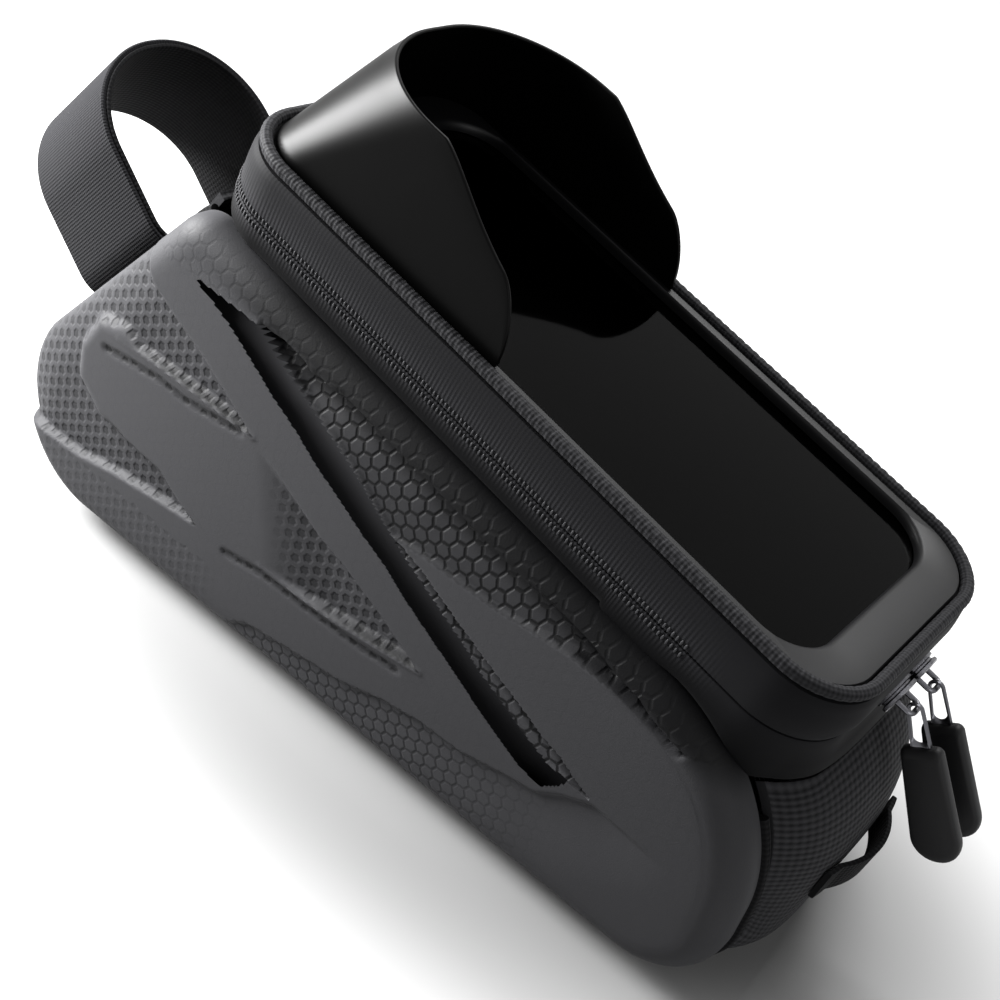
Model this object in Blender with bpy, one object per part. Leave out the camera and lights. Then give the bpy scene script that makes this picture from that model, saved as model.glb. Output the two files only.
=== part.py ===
"""Top tube phone bag: two moulded side shells on a ribbed gusset, and a zipped lid with a window and a hood.

The front of the bag, which faces the stem, is at -X. The left side is at -Y. The origin is the middle of
the flat underside.
"""
import math

import bmesh
import bpy
from mathutils import Matrix, Vector

# Clearances
GAP = 0.0003
ZIP_GAP = 0.0005

# Steps of the round corners, and straight pieces between those of the lid's plan
PLAN_STEPS = 6
PLAN_PIECES = 6
SIDE_STEPS = 8
STRAP_STEPS = 9
PULL_STEPS = 8

# Lid, measured along its own slope
LID_TILT = math.radians(13.0)
LID_LENGTH = 0.199
LID_WIDTH = 0.085
LID_CORNER = 0.020
LID_CENTRE_X = 0.0332
LID_CENTRE_Z = 0.1190
ZIP_DROP = 0.0150
SEAM_DROP = 0.0230
WALL = 0.0021
TAPE = 0.0008
SHOULDER = 0.0050
FRAME_THICK = 0.0030
FILM_THICK = 0.0006
FRAME_END_WIDTH = 0.0116
FRAME_SIDE_WIDTH = 0.0026
WINDOW_CORNER = 0.014
FILM_LAP = 0.0015
LEDGE = 0.0033
LEDGE_THICK = 0.0018
BINDING_RADIUS = 0.0017
BINDING_INSET = 0.0024
SEAT_INSET = BINDING_INSET + BINDING_RADIUS
FRAME_INSET = SEAT_INSET + GAP
WINDOW_LENGTH = LID_LENGTH - 2 * (FRAME_INSET + FRAME_END_WIDTH)
WINDOW_WIDTH = LID_WIDTH - 2 * (FRAME_INSET + FRAME_SIDE_WIDTH)
TAPE_SHARE = 0.8
SHOULDER_TOP = 0.0010
SHOULDER_DIP = 0.0030
SHOULDER_OUT = 0.0003

# Hood
HOOD_THICK = 0.0012
HOOD_REACH = 0.090
HOOD_FRONT_HEIGHT = 0.033
HOOD_REAR_HEIGHT = 0.016
HOOD_FRONT_LEAN = 0.012
HOOD_SIDE_LEAN = 0.004
HOOD_END_ROUND = 0.014
HOOD_TOP_CORNER = 0.020
HOOD_LEVEL_SHARE = 0.30

# Phone pocket under the window
POCKET_END_INSET = 0.0185
POCKET_SIDE_INSET = 0.00525
POCKET_LENGTH = LID_LENGTH - 2 * POCKET_END_INSET
POCKET_WIDTH = LID_WIDTH - 2 * POCKET_SIDE_INSET
POCKET_DEPTH = 0.0190
POCKET_THICK = 0.0012
PAD_THICK = 0.0030
PAD_MARGIN = 0.0020
PAD_CORNER = 0.006

# Body
PAD_HEIGHT = 0.0040
FRONT_SLOPE = math.radians(50.5)
FRONT_TOP_X = -0.0660
REAR_X = 0.1290
REAR_BULGE = 0.0045
BELT_BULGE = 0.0115
BELT_Z = 0.0540
GUSSET_REAR_ROUND = 0.012
TOP_FRONT_ROUND = 0.012
BOTTOM_FRONT_ROUND = 0.032
BOTTOM_REAR_ROUND = 0.022
TOP_REAR_ROUND = 0.048
BELT_ROUND = 0.040
SHELL_THICK = 0.0035
SHELL_BULGE = 0.0108
SHELL_EDGE_ROUND = 0.0085
SHELL_FLANK = 0.0020
SHELL_CROWN = 0.0010
CROWN_SHARES = (0.72, 0.40)
INNER_ROUND_SHARE = 0.4
EDGE_STEP = 0.0002
SMALLEST_ROUND = 0.0008
MITRE_LIMIT = 0.25
GUSSET_HALF = 0.0350
GUSSET_THICK = 0.0024
PIPING_RADIUS = 0.0013
PIPING_LEAD = 3
PIPING_TAIL = 4
REAR_SEAM_Z = 0.0675
ARCH_RISE = 0.0015
RIM_BULGE = 0.0040
KNEE_SHARE = 1.4
KNEE_ROUND = 0.0072

# Carved relief on the side shells
CARVE_DEPTH = 0.0023
CARVE_BEVEL = 0.0016

# Straps
HEAD_STRAP_WIDTH = 0.040
HEAD_STRAP_THICK = 0.0030
HEAD_LOOP_WIDTH = 0.053
HEAD_LOOP_REACH = 0.057
HEAD_BACK_ROUND = 0.010
HEAD_FRONT_ROUND = 0.0260
STRAP_DROP = 0.042
KEEPER_THICK = 0.0016
KEEPER_LENGTH = 0.026
KEEPER_FOOT = 0.0030
KEEPER_SIDE = 0.0012
TUBE_STRAP_WIDTH = 0.025
TUBE_STRAP_THICK = 0.0016
TUBE_STRAP_LENGTH = 0.068
TUBE_STRAP_SPACING = 0.110
PAD_LENGTH = 0.180
PAD_WIDTH = 0.056
BASE_CORNER = 0.008
TUBE_STRAP_CORNER = 0.004
LOOP_WIDTH = 0.010
LOOP_LENGTH = 0.037
LOOP_THICK = 0.0014
LOOP_HEIGHT = 0.0032
LOOP_FREE_SHARE = 0.72
LOOP_Z = 0.036

# Zip sliders and pulls
SLIDER_SPACING = 0.0120
SLIDER_SHIFT = 0.0060
SLIDER_LENGTH = 0.0105
SLIDER_WIDTH = 0.0086
SLIDER_THICK = 0.0030
BAIL_RADIUS = 0.0007
BAIL_HEIGHT = 0.0050
BAIL_LENGTH = 0.0066
BAIL_ROOT = 0.0006
PULL_SWING = math.radians(34.0)
EYE_LENGTH = 0.0130
EYE_WIDTH = 0.0054
EYE_THICK = 0.0012
EYE_HOLE = 0.0012
EYE_RIM = 0.0010
TAB_LENGTH = 0.0300
TAB_TOP_WIDTH = 0.0098
TAB_END_WIDTH = 0.0126
TAB_THICK = 0.0042
TAB_OVERLAP = 0.0040
TAB_TOP_ROUND = 0.0015
TAB_END_ROUND = 0.0058
SOCKET_MOUTH = 0.0010

COLOURS = {
    "shell": ((0.030, 0.030, 0.032), 0.55, 0.0),
    "cloth": ((0.022, 0.022, 0.023), 0.85, 0.0),
    "gloss": ((0.012, 0.012, 0.013), 0.12, 0.0),
    "frame": ((0.060, 0.060, 0.062), 0.45, 0.0),
    "film": ((0.020, 0.020, 0.022), 0.08, 0.0),
    "foam": ((0.008, 0.008, 0.008), 0.95, 0.0),
    "rubber": ((0.018, 0.018, 0.019), 0.60, 0.0),
    "metal": ((0.550, 0.550, 0.560), 0.25, 1.0),
}

for old in list(bpy.data.objects):
    bpy.data.objects.remove(old, do_unlink=True)

bag = bpy.data.collections.new("top_tube_phone_bag")
tools = bpy.data.collections.new("cutters")
bpy.context.scene.collection.children.link(bag)
bpy.context.scene.collection.children.link(tools)


def material(kind):
    """Return the Principled material of this kind, made once."""
    found = bpy.data.materials.get(kind)
    if found:
        return found
    colour, roughness, metallic = COLOURS[kind]
    made = bpy.data.materials.new(kind)
    made.use_nodes = True
    shader = made.node_tree.nodes["Principled BSDF"]
    shader.inputs["Base Color"].default_value = (*colour, 1.0)
    shader.inputs["Roughness"].default_value = roughness
    shader.inputs["Metallic"].default_value = metallic
    return made


def add_object(name, mesh, kind, parent=None, smooth=None):
    """Put a mesh in the bag's collection as one named piece."""
    piece = bpy.data.objects.new(name, mesh)
    bag.objects.link(piece)
    mesh.materials.append(material(kind))
    piece.parent = parent
    if smooth:
        mesh.shade_smooth()
        mesh.set_sharp_from_angle(angle=math.radians(smooth))
    return piece


def finish_mesh(name, bm):
    """Turn a bmesh into a mesh whose faces point outwards."""
    bmesh.ops.recalc_face_normals(bm, faces=bm.faces)
    mesh = bpy.data.meshes.new(name)
    bm.to_mesh(mesh)
    bm.free()
    return mesh


def loft(name, rings, closed_path=False):
    """Skin rings of points that have the same count; the path may close on itself."""
    bm = bmesh.new()
    rows = [[bm.verts.new(point) for point in ring] for ring in rings]
    pairs = list(zip(rows[:-1], rows[1:]))
    if closed_path:
        pairs.append((rows[-1], rows[0]))
    for first, second in pairs:
        for index in range(len(first)):
            after = (index + 1) % len(first)
            bm.faces.new((first[index], first[after], second[after], second[index]))
    if not closed_path:
        bm.faces.new(rows[0])
        bm.faces.new(list(reversed(rows[-1])))
    return finish_mesh(name, bm)


def arc_corner(before, corner, after, radius, steps):
    """Return the points of a round corner between two straight edges."""
    first = (before - corner).normalized()
    second = (after - corner).normalized()
    half = first.angle(second) / 2
    centre = corner + (first + second).normalized() * (radius / math.sin(half))
    start = corner + first * (radius / math.tan(half)) - centre
    end = corner + second * (radius / math.tan(half)) - centre
    sweep = start.angle(end)
    points = []
    for step in range(steps + 1):
        share = step / steps
        ratio_start = math.sin((1 - share) * sweep) / math.sin(sweep)
        ratio_end = math.sin(share * sweep) / math.sin(sweep)
        points.append(centre + start * ratio_start + end * ratio_end)
    return points


def rounded_path(corners, radii, steps, closed):
    """Round the corners of a path of 2D vectors; an open path keeps its two ends."""
    count = len(corners)
    points = []
    for index, corner in enumerate(corners):
        if not closed and index in (0, count - 1):
            points.append(corner.copy())
            continue
        before = corners[index - 1]
        after = corners[(index + 1) % count]
        points.extend(arc_corner(before, corner, after, radii[index], steps))
    return points


def inset_corners(corners, distance):
    """Move each edge of a closed polygon inwards; the corners run clockwise or not."""
    area = sum(a.x * b.y - b.x * a.y for a, b in zip(corners, corners[1:] + corners[:1]))
    turn = 1.0 if area > 0 else -1.0
    moved = []
    for index, corner in enumerate(corners):
        into = (corner - corners[index - 1]).normalized()
        out = (corners[(index + 1) % len(corners)] - corner).normalized()
        normal_in = Vector((-into.y, into.x)) * turn
        normal_out = Vector((-out.y, out.x)) * turn
        bisector = (normal_in + normal_out).normalized()
        moved.append(corner + bisector * (distance / max(bisector.dot(normal_in), MITRE_LIMIT)))
    return moved


def plan_ring(inset):
    """Return the lid's outline, moved inwards, as local points from the front left corner round the rear."""
    half_length = LID_LENGTH / 2 - inset
    half_width = LID_WIDTH / 2 - inset
    corners = [Vector((-half_length, -half_width)), Vector((half_length, -half_width)),
               Vector((half_length, half_width)), Vector((-half_length, half_width))]
    arcs = rounded_path(corners, [LID_CORNER - inset] * 4, PLAN_STEPS, True)
    points = []
    for index, point in enumerate(arcs):
        points.append(point)
        if (index + 1) % (PLAN_STEPS + 1) == 0:
            after = arcs[(index + 1) % len(arcs)]
            points.extend(point.lerp(after, share / PLAN_PIECES) for share in range(1, PLAN_PIECES))
    return points


def lid_world(along, drop):
    """Return the world x and z of a point of the lid's own plane."""
    x = LID_CENTRE_X + along * math.cos(LID_TILT) - drop * math.sin(LID_TILT)
    z = LID_CENTRE_Z - along * math.sin(LID_TILT) - drop * math.cos(LID_TILT)
    return Vector((x, z))


def seam_height(x):
    """Return the height of the side shells' top line at x."""
    start = lid_world(0.0, SEAM_DROP + GAP)
    return start.y - (x - start.x) * math.tan(LID_TILT)


# The side outline of the shells: top front, bottom front, bottom rear, top rear
BODY_FLOOR = PAD_HEIGHT + GAP
TOP_FRONT = Vector((FRONT_TOP_X, seam_height(FRONT_TOP_X)))
FRONT_RUN = (TOP_FRONT.y - BODY_FLOOR) / math.tan(FRONT_SLOPE)
SIDE_CORNERS = [
    TOP_FRONT,
    Vector((FRONT_TOP_X - FRONT_RUN, BODY_FLOOR)),
    Vector((REAR_X, BODY_FLOOR)),
    Vector((REAR_X, seam_height(REAR_X))),
]
SIDE_ROUNDS = [TOP_FRONT_ROUND, BOTTOM_FRONT_ROUND, BOTTOM_REAR_ROUND, TOP_REAR_ROUND]
PIPING_Y = GUSSET_HALF + GAP + PIPING_RADIUS
RIM_Y = PIPING_Y + PIPING_RADIUS + GAP
FACE_Y = RIM_Y + SHELL_BULGE


def side_ring(inset, steps=SIDE_STEPS):
    """Return the shells' side outline, moved inwards, as 2D points."""
    corners = inset_corners(SIDE_CORNERS, inset)
    return rounded_path(corners, [max(radius - inset, SMALLEST_ROUND) for radius in SIDE_ROUNDS], steps, True)


SIDE_MIDDLE = sum(side_ring(0.0), Vector((0.0, 0.0))) / len(side_ring(0.0))
SIDE_FRONT = min(point.x for point in side_ring(0.0))
SIDE_LENGTH = REAR_X - SIDE_FRONT
SIDE_HEIGHT = TOP_FRONT.y - BODY_FLOOR


def shell_skin(depth):
    """Return the rings of one skin of a side shell, which lies this deep inside the outer skin."""
    face = FACE_Y - depth
    edge = SHELL_EDGE_ROUND + depth * INNER_ROUND_SHARE
    start = face - edge
    rings = [(RIM_Y, side_ring(depth)), (max(start, RIM_Y + SHELL_FLANK), side_ring(depth))]
    turns = 4
    for turn in range(1, turns + 1):
        angle = math.radians(90.0 * turn / turns)
        rise = edge * math.sin(angle)
        inward = edge * (1 - math.cos(angle))
        rings.append((max(start + rise, RIM_Y + SHELL_FLANK + EDGE_STEP * turn), side_ring(depth + inward)))
    last = rings[-1][1]
    for share in CROWN_SHARES:
        ring = [SIDE_MIDDLE + (point - SIDE_MIDDLE) * share for point in last]
        rings.append((face + SHELL_CROWN * (1 - share * share), ring))
    return rings


def side_shell_mesh(name, side):
    """Build a side shell: an outer skin, an inner skin and the rim between them."""
    bm = bmesh.new()
    skins = []
    for depth in (0.0, SHELL_THICK):
        rows = []
        for y, ring in shell_skin(depth):
            rows.append([bm.verts.new((point.x, side * y, point.y)) for point in ring])
        for first, second in zip(rows[:-1], rows[1:]):
            for index in range(len(first)):
                after = (index + 1) % len(first)
                bm.faces.new((first[index], first[after], second[after], second[index]))
        bm.faces.new(rows[-1])
        skins.append(rows[0])
    for index in range(len(skins[0])):
        after = (index + 1) % len(skins[0])
        bm.faces.new((skins[0][index], skins[0][after], skins[1][after], skins[1][index]))
    return finish_mesh(name, bm)


def box_mesh(name, low, high, bevel=0.0):
    """Return a box between two corners, with an optional bevel on its upright edges."""
    bm = bmesh.new()
    bmesh.ops.create_cube(bm, size=1.0)
    for vertex in bm.verts:
        for axis in range(3):
            vertex.co[axis] = low[axis] if vertex.co[axis] < 0 else high[axis]
    if bevel:
        edges = [edge for edge in bm.edges
                 if abs(edge.verts[0].co.z - edge.verts[1].co.z) > 0.5 * (high[2] - low[2])]
        bmesh.ops.bevel(bm, geom=edges, offset=bevel, segments=4, affect='EDGES', profile=0.5)
    return finish_mesh(name, bm)


def add_tool(name, mesh, parent=None):
    """Put a mesh in the cutters' collection, hidden from renders."""
    tool = bpy.data.objects.new(name, mesh)
    tools.objects.link(tool)
    tool.hide_render = True
    tool.display_type = 'WIRE'
    tool.parent = parent
    return tool


def combine(piece, tool, operation='DIFFERENCE'):
    """Cut a tool out of a piece, or join it on."""
    change = piece.modifiers.new(tool.name, 'BOOLEAN')
    change.object = tool
    change.operation = operation
    change.solver = 'EXACT'


# Carved fields as shares of the side's length and height, from the front and from the base
CARVED_FIELDS = {
    "front_upper": [(0.133, 0.666), (0.197, 0.789), (0.368, 0.595), (0.149, 0.587)],
    "front_lower": [(0.054, 0.340), (0.145, 0.367), (0.314, 0.252), (0.082, 0.169)],
    "middle": [(0.505, 0.459), (0.628, 0.333), (0.450, 0.288)],
    "channel": [(0.272, 0.855), (0.316, 0.814), (0.385, 0.725), (0.453, 0.642), (0.526, 0.560),
                (0.593, 0.484), (0.664, 0.404), (0.732, 0.327), (0.787, 0.289), (0.808, 0.332),
                (0.738, 0.377), (0.656, 0.470), (0.567, 0.568), (0.495, 0.668), (0.419, 0.751),
                (0.353, 0.827)],
    "lens": [(0.367, 0.851), (0.468, 0.831), (0.542, 0.796), (0.648, 0.737), (0.735, 0.702),
             (0.817, 0.648), (0.898, 0.595), (0.852, 0.603), (0.770, 0.627), (0.691, 0.607),
             (0.630, 0.610), (0.563, 0.624), (0.502, 0.695), (0.425, 0.778)],
}


def carved_corners(field):
    """Return a carved field's corners as world x and z."""
    return [Vector((SIDE_FRONT + along * SIDE_LENGTH, BODY_FLOOR + up * SIDE_HEIGHT)) for along, up in field]


def carve_shell(shell, side):
    """Cut the fields into a shell with bevelled cutters."""
    for name, field in CARVED_FIELDS.items():
        outer = carved_corners(field)
        inner = inset_corners(outer, CARVE_BEVEL)
        flared = inset_corners(outer, -CARVE_BEVEL)
        floor_y = FACE_Y - CARVE_DEPTH
        clear_y = FACE_Y + 2 * SHELL_CROWN + CARVE_DEPTH
        rings = [[(p.x, side * floor_y, p.y) for p in inner], [(p.x, side * clear_y, p.y) for p in flared]]
        combine(shell, add_tool(shell.name + "_" + name, loft(name, rings)))


def make_side_shells():
    """Make the two moulded shells."""
    for name, side in (("side_shell_left", -1), ("side_shell_right", 1)):
        shell = add_object(name, side_shell_mesh(name, side), "shell", smooth=35)
        carve_shell(shell, side)


def arch_height(y):
    """Return the height of the seam across the rear gusset at y."""
    return REAR_SEAM_Z + ARCH_RISE * fullness(y)


def rim_rear(y, height):
    """Return the side position of the rim's rear lower edge at this y and height."""
    into_corner = max(abs(y) - (LID_WIDTH / 2 - LID_CORNER), 0.0)
    along = LID_LENGTH / 2 - LID_CORNER + math.sqrt(LID_CORNER ** 2 - into_corner ** 2) - GAP
    along += RIM_BULGE * fullness(y)
    drop = (LID_CENTRE_Z - along * math.sin(LID_TILT) - height) / math.cos(LID_TILT)
    return lid_world(along, drop)


def fullness(y):
    """Return how full the gusset stands at y: none at its side seams, all in its middle."""
    return 1 - min(abs(y) / GUSSET_HALF, 1.0) ** 3


def gusset_rear(y, height):
    """Return the x of the gusset's rear face at y, between the base's round and the belt."""
    share = (height - BODY_FLOOR) / (BELT_Z - BODY_FLOOR)
    return REAR_X + (REAR_BULGE + (BELT_BULGE - REAR_BULGE) * share) * fullness(y)


def gusset_path(y):
    """Return the gusset's open side path at y, from its top front round the base to the arch at the rear."""
    top_front = lid_world(-LID_LENGTH / 2 + GAP, SEAM_DROP + GAP)
    knee = TOP_FRONT + (SIDE_CORNERS[1] - TOP_FRONT).normalized() * (TOP_FRONT_ROUND * KNEE_SHARE)
    top_rear = rim_rear(y, arch_height(y) - 2 * GAP)
    heel = Vector((gusset_rear(y, BODY_FLOOR), BODY_FLOOR))
    belt = Vector((gusset_rear(y, BELT_Z), BELT_Z))
    corners = [top_front, knee, SIDE_CORNERS[1], heel, belt, top_rear]
    rear_round = BOTTOM_REAR_ROUND + (GUSSET_REAR_ROUND - BOTTOM_REAR_ROUND) * fullness(y)
    bends = [0.0, KNEE_ROUND, BOTTOM_FRONT_ROUND, rear_round, BELT_ROUND, 0.0]
    return rounded_path(corners, bends, SIDE_STEPS, False)


def offset_path(path, distance):
    """Move an open path sideways by a distance, to its left."""
    moved = []
    for index, point in enumerate(path):
        before = path[max(index - 1, 0)]
        after = path[min(index + 1, len(path) - 1)]
        heading = (after - before).normalized()
        moved.append(point + Vector((-heading.y, heading.x)) * distance)
    return moved


def make_gusset():
    """Make the band between the shells: front, base and rear in one strip, with an arched rear edge."""
    stations = 13
    rings = []
    for station in range(stations):
        y = -GUSSET_HALF + 2 * GUSSET_HALF * station / (stations - 1)
        outer = gusset_path(y)
        inner = offset_path(outer, GUSSET_THICK)
        rings.append([(point.x, y, point.y) for point in outer + inner[::-1]])
    add_object("gusset_band", loft("gusset_band", rings), "cloth", smooth=35)


def tube(name, points, radius, kind):
    """Make a closed round tube along points as a mesh piece."""
    curve = bpy.data.curves.new(name, 'CURVE')
    curve.dimensions = '3D'
    curve.bevel_depth = radius
    curve.bevel_resolution = 2
    curve.use_fill_caps = True
    spline = curve.splines.new('POLY')
    spline.points.add(len(points) - 1)
    for spot, point in zip(spline.points, points):
        spot.co = (*point, 1.0)
    curve.materials.append(material(kind))
    piece = bpy.data.objects.new(name, curve)
    bag.objects.link(piece)


def make_piping():
    """Make the cords sewn between each shell and the gusset, from the top front to the top rear."""
    steps = 10
    outline = side_ring(0.0, steps)
    first = steps - PIPING_LEAD
    last = 3 * (steps + 1) + PIPING_TAIL
    for name, side in (("piping_left", -1), ("piping_right", 1)):
        path = [(point.x, side * PIPING_Y, point.y) for point in outline[first:last + 1]]
        tube(name, path, PIPING_RADIUS, "cloth")


def band_ring(name, profile_at, kind, parent=None):
    """Loft a closed band round the lid's plan; profile_at(point) gives its (inset, height) points."""
    guide = plan_ring(0.0)
    layers = {}
    rings = []
    for index, point in enumerate(guide):
        ring = []
        for inset, height in profile_at(point):
            if inset not in layers:
                layers[inset] = plan_ring(inset)
            spot = layers[inset][index]
            ring.append((spot.x, spot.y, height))
        rings.append(ring)
    return add_object(name, loft(name, rings, closed_path=True), kind, parent, smooth=40)


def lid_empty(name, along, drop):
    """Make an empty in the lid's slope, at a point of the lid's own plane."""
    spot = lid_world(along, drop)
    empty = bpy.data.objects.new(name, None)
    bag.objects.link(empty)
    empty.location = (spot.x, 0.0, spot.y)
    empty.rotation_euler = (0.0, LID_TILT, 0.0)
    return empty


HINGE_ALONG = -LID_LENGTH / 2
body_frame = lid_empty("body_slope", 0.0, 0.0)
lid_hinge = lid_empty("lid_hinge", HINGE_ALONG, ZIP_DROP)


def on_lid(piece):
    """Place a piece, modelled about the lid's centre, under the lid's hinge."""
    piece.parent = lid_hinge
    piece.location = (-HINGE_ALONG, 0.0, ZIP_DROP)
    return piece


def rim_bulge(point):
    """Return how far the rim band's lower edge stands out at a point of the lid's plan."""
    return RIM_BULGE * fullness(point.y) if point.x > 0 else 0.0


def rim_low(point):
    """Return the local height of the rim band's lower edge at a point of the lid's plan."""
    if point.x < LID_CORNER - LID_LENGTH / 2:
        return -SEAM_DROP
    if point.x < LID_LENGTH / 2 - LID_CORNER:
        return -SEAM_DROP - SHELL_FLANK
    along = point.x + rim_bulge(point)
    return (arch_height(point.y) - LID_CENTRE_Z + along * math.sin(LID_TILT)) / math.cos(LID_TILT)


def make_rim():
    """Make the smooth panel under the zip, which goes round the top of the body."""
    tape_end = ZIP_DROP + (SEAM_DROP - ZIP_DROP) * TAPE_SHARE
    recess = TAPE + GAP

    def profile(point):
        low = rim_low(point)
        out = rim_bulge(point)
        return [(recess, -ZIP_DROP - ZIP_GAP), (recess, -tape_end), (GAP, -tape_end - GAP), (GAP - out, low),
                (recess + WALL - out, low), (recess + WALL, -ZIP_DROP - ZIP_GAP)]

    rim = band_ring("rim_band", profile, "cloth", body_frame)
    envelope = side_ring(-GAP)
    for name, side in (("left", -1), ("right", 1)):
        rings = [[(p.x, side * y, p.y) for p in envelope] for y in (RIM_Y - GAP, LID_WIDTH)]
        combine(rim, add_tool("shell_room_" + name, loft("shell_room_" + name, rings)))

    def tape_profile(_point):
        return [(0.0, -ZIP_DROP - ZIP_GAP / 2), (0.0, -tape_end + GAP),
                (TAPE, -tape_end + GAP), (TAPE, -ZIP_DROP - ZIP_GAP / 2)]

    band_ring("zip_tape_lower", tape_profile, "cloth", body_frame)


def make_lid_wall():
    """Make the lid's soft wall with its round shoulder and its inner ledge, and the zip tape on it."""
    recess = TAPE + GAP
    inner = recess + WALL
    ledge_top = -FRAME_THICK - FILM_THICK - 2 * GAP
    under = BINDING_RADIUS + GAP
    ledge_end = inner + LEDGE

    def profile(_point):
        return [(ledge_end, ledge_top), (SEAT_INSET, ledge_top), (SEAT_INSET, -under), (SHOULDER_TOP, -under),
                (SHOULDER_OUT, -SHOULDER_DIP), (0.0, -SHOULDER + GAP), (recess, -SHOULDER),
                (recess, -ZIP_DROP + ZIP_GAP), (inner, -ZIP_DROP + ZIP_GAP),
                (inner, ledge_top - LEDGE_THICK), (ledge_end, ledge_top - LEDGE_THICK)]

    on_lid(band_ring("lid_wall", profile, "cloth"))

    def tape_profile(_point):
        return [(0.0, -SHOULDER - GAP), (0.0, -ZIP_DROP + ZIP_GAP / 2),
                (TAPE, -ZIP_DROP + ZIP_GAP / 2), (TAPE, -SHOULDER - GAP)]

    on_lid(band_ring("zip_tape_upper", tape_profile, "cloth"))


def make_binding():
    """Make the woven binding round the lid's edge."""
    sides = 10

    def profile(_point):
        points = []
        for side in range(sides):
            angle = 2 * math.pi * side / sides
            points.append((BINDING_INSET + BINDING_RADIUS * math.cos(angle), BINDING_RADIUS * math.sin(angle)))
        return points

    on_lid(band_ring("lid_binding", profile, "cloth"))


def rounded_plate(name, length, width, radius, low, high, hole=None):
    """Make a flat plate with round corners, with an optional round-cornered hole."""
    def ring(size_x, size_y, corner):
        corners = [Vector((-size_x / 2, -size_y / 2)), Vector((size_x / 2, -size_y / 2)),
                   Vector((size_x / 2, size_y / 2)), Vector((-size_x / 2, size_y / 2))]
        return rounded_path(corners, [corner] * 4, PLAN_STEPS, True)

    outer = ring(length, width, radius)
    if hole:
        inner = ring(*hole)
        rings = [[(p.x, p.y, low), (p.x, p.y, high), (q.x, q.y, high), (q.x, q.y, low)]
                 for p, q in zip(outer, inner)]
        return loft(name, rings, closed_path=True)
    return loft(name, [[(p.x, p.y, low) for p in outer], [(p.x, p.y, high) for p in outer]])


def make_frame_and_window():
    """Make the smooth frame round the window and the clear film under it."""
    mesh = rounded_plate("lid_frame", LID_LENGTH - 2 * FRAME_INSET, LID_WIDTH - 2 * FRAME_INSET,
                         LID_CORNER - FRAME_INSET, -FRAME_THICK, 0.0,
                         hole=(WINDOW_LENGTH, WINDOW_WIDTH, WINDOW_CORNER))
    on_lid(add_object("lid_frame", mesh, "frame", smooth=40))
    top = -FRAME_THICK - GAP
    mesh = rounded_plate("window_film", WINDOW_LENGTH + 2 * FILM_LAP, WINDOW_WIDTH + 2 * FILM_LAP,
                         WINDOW_CORNER + FILM_LAP, top - FILM_THICK, top)
    on_lid(add_object("window_film", mesh, "film", smooth=40))


def hood_curve(half_width, front, corner):
    """Return a U of points round the lid's front half, from its left end to its right end."""
    end = -LID_LENGTH / 2 + HOOD_REACH
    straight = 10
    side = []
    for step in range(straight):
        share = 1 - (step / straight) ** 2
        side.append(Vector((front + corner + (end - front - corner) * share, -half_width)))
    corners = [Vector((end, -half_width)), Vector((front, -half_width)),
               Vector((front, half_width)), Vector((end, half_width))]
    bend = rounded_path(corners, [0.0, corner, corner, 0.0], 9, False)[1:-1]
    return side + bend + [Vector((point.x, half_width)) for point in reversed(side)]


def hood_height(along):
    """Return the hood's height above the lid at this distance from the lid's front."""
    shoulder = HOOD_REACH * HOOD_LEVEL_SHARE
    share = min(max((along - shoulder) / (HOOD_REACH - shoulder), 0.0), 1.0)
    height = HOOD_FRONT_HEIGHT + (HOOD_REAR_HEIGHT - HOOD_FRONT_HEIGHT) * share
    to_end = (HOOD_REACH - along) / HOOD_END_ROUND
    if to_end < 1:
        height *= math.sqrt(max(1 - (1 - to_end) ** 2, 0.0))
    return max(height, HOOD_THICK)


def make_hood():
    """Make the glossy hood: one bent sheet that stands on the lid round its front half."""
    base = HOOD_THICK / 2 + SEAT_INSET + 2 * GAP
    half_width = LID_WIDTH / 2 - base
    front = -LID_LENGTH / 2
    foot_curve = hood_curve(half_width, front + base, LID_CORNER - base)
    top_curve = hood_curve(half_width - HOOD_SIDE_LEAN, front + base + HOOD_FRONT_LEAN, HOOD_TOP_CORNER)
    rings = []
    last = len(foot_curve) - 1
    for index, foot in enumerate(foot_curve):
        heading = (foot_curve[min(index + 1, last)] - foot_curve[max(index - 1, 0)]).normalized()
        side = Vector((heading.y, -heading.x)) * (HOOD_THICK / 2)
        height = hood_height(foot.x - front)
        share = height / HOOD_FRONT_HEIGHT
        top = foot.lerp(top_curve[index], share)
        rings.append([(*(foot - side), GAP), (*(foot + side), GAP),
                      (*(top + side), height), (*(top - side), height)])
    on_lid(add_object("visor_hood", loft("visor_hood", rings), "gloss", smooth=50))


def make_phone_pocket():
    """Make the pocket under the window, open at the rear, and the foam pad in it."""
    half_width = POCKET_WIDTH / 2
    ceiling = -FRAME_THICK - FILM_THICK - 3 * GAP - LEDGE_THICK
    inner = half_width - POCKET_THICK
    floor = -POCKET_DEPTH + POCKET_THICK
    section = [(-half_width, ceiling), (-half_width, -POCKET_DEPTH), (half_width, -POCKET_DEPTH),
               (half_width, ceiling), (inner, ceiling), (inner, floor), (-inner, floor), (-inner, ceiling)]
    rings = [[(x, y, z) for y, z in section] for x in (-POCKET_LENGTH / 2, POCKET_LENGTH / 2)]
    on_lid(add_object("phone_pocket", loft("phone_pocket", rings), "foam"))
    mesh = rounded_plate("phone_pad", POCKET_LENGTH - 2 * PAD_MARGIN, 2 * (inner - PAD_MARGIN), PAD_CORNER,
                         floor + GAP, floor + GAP + PAD_THICK)
    on_lid(add_object("phone_pad", mesh, "foam"))


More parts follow.
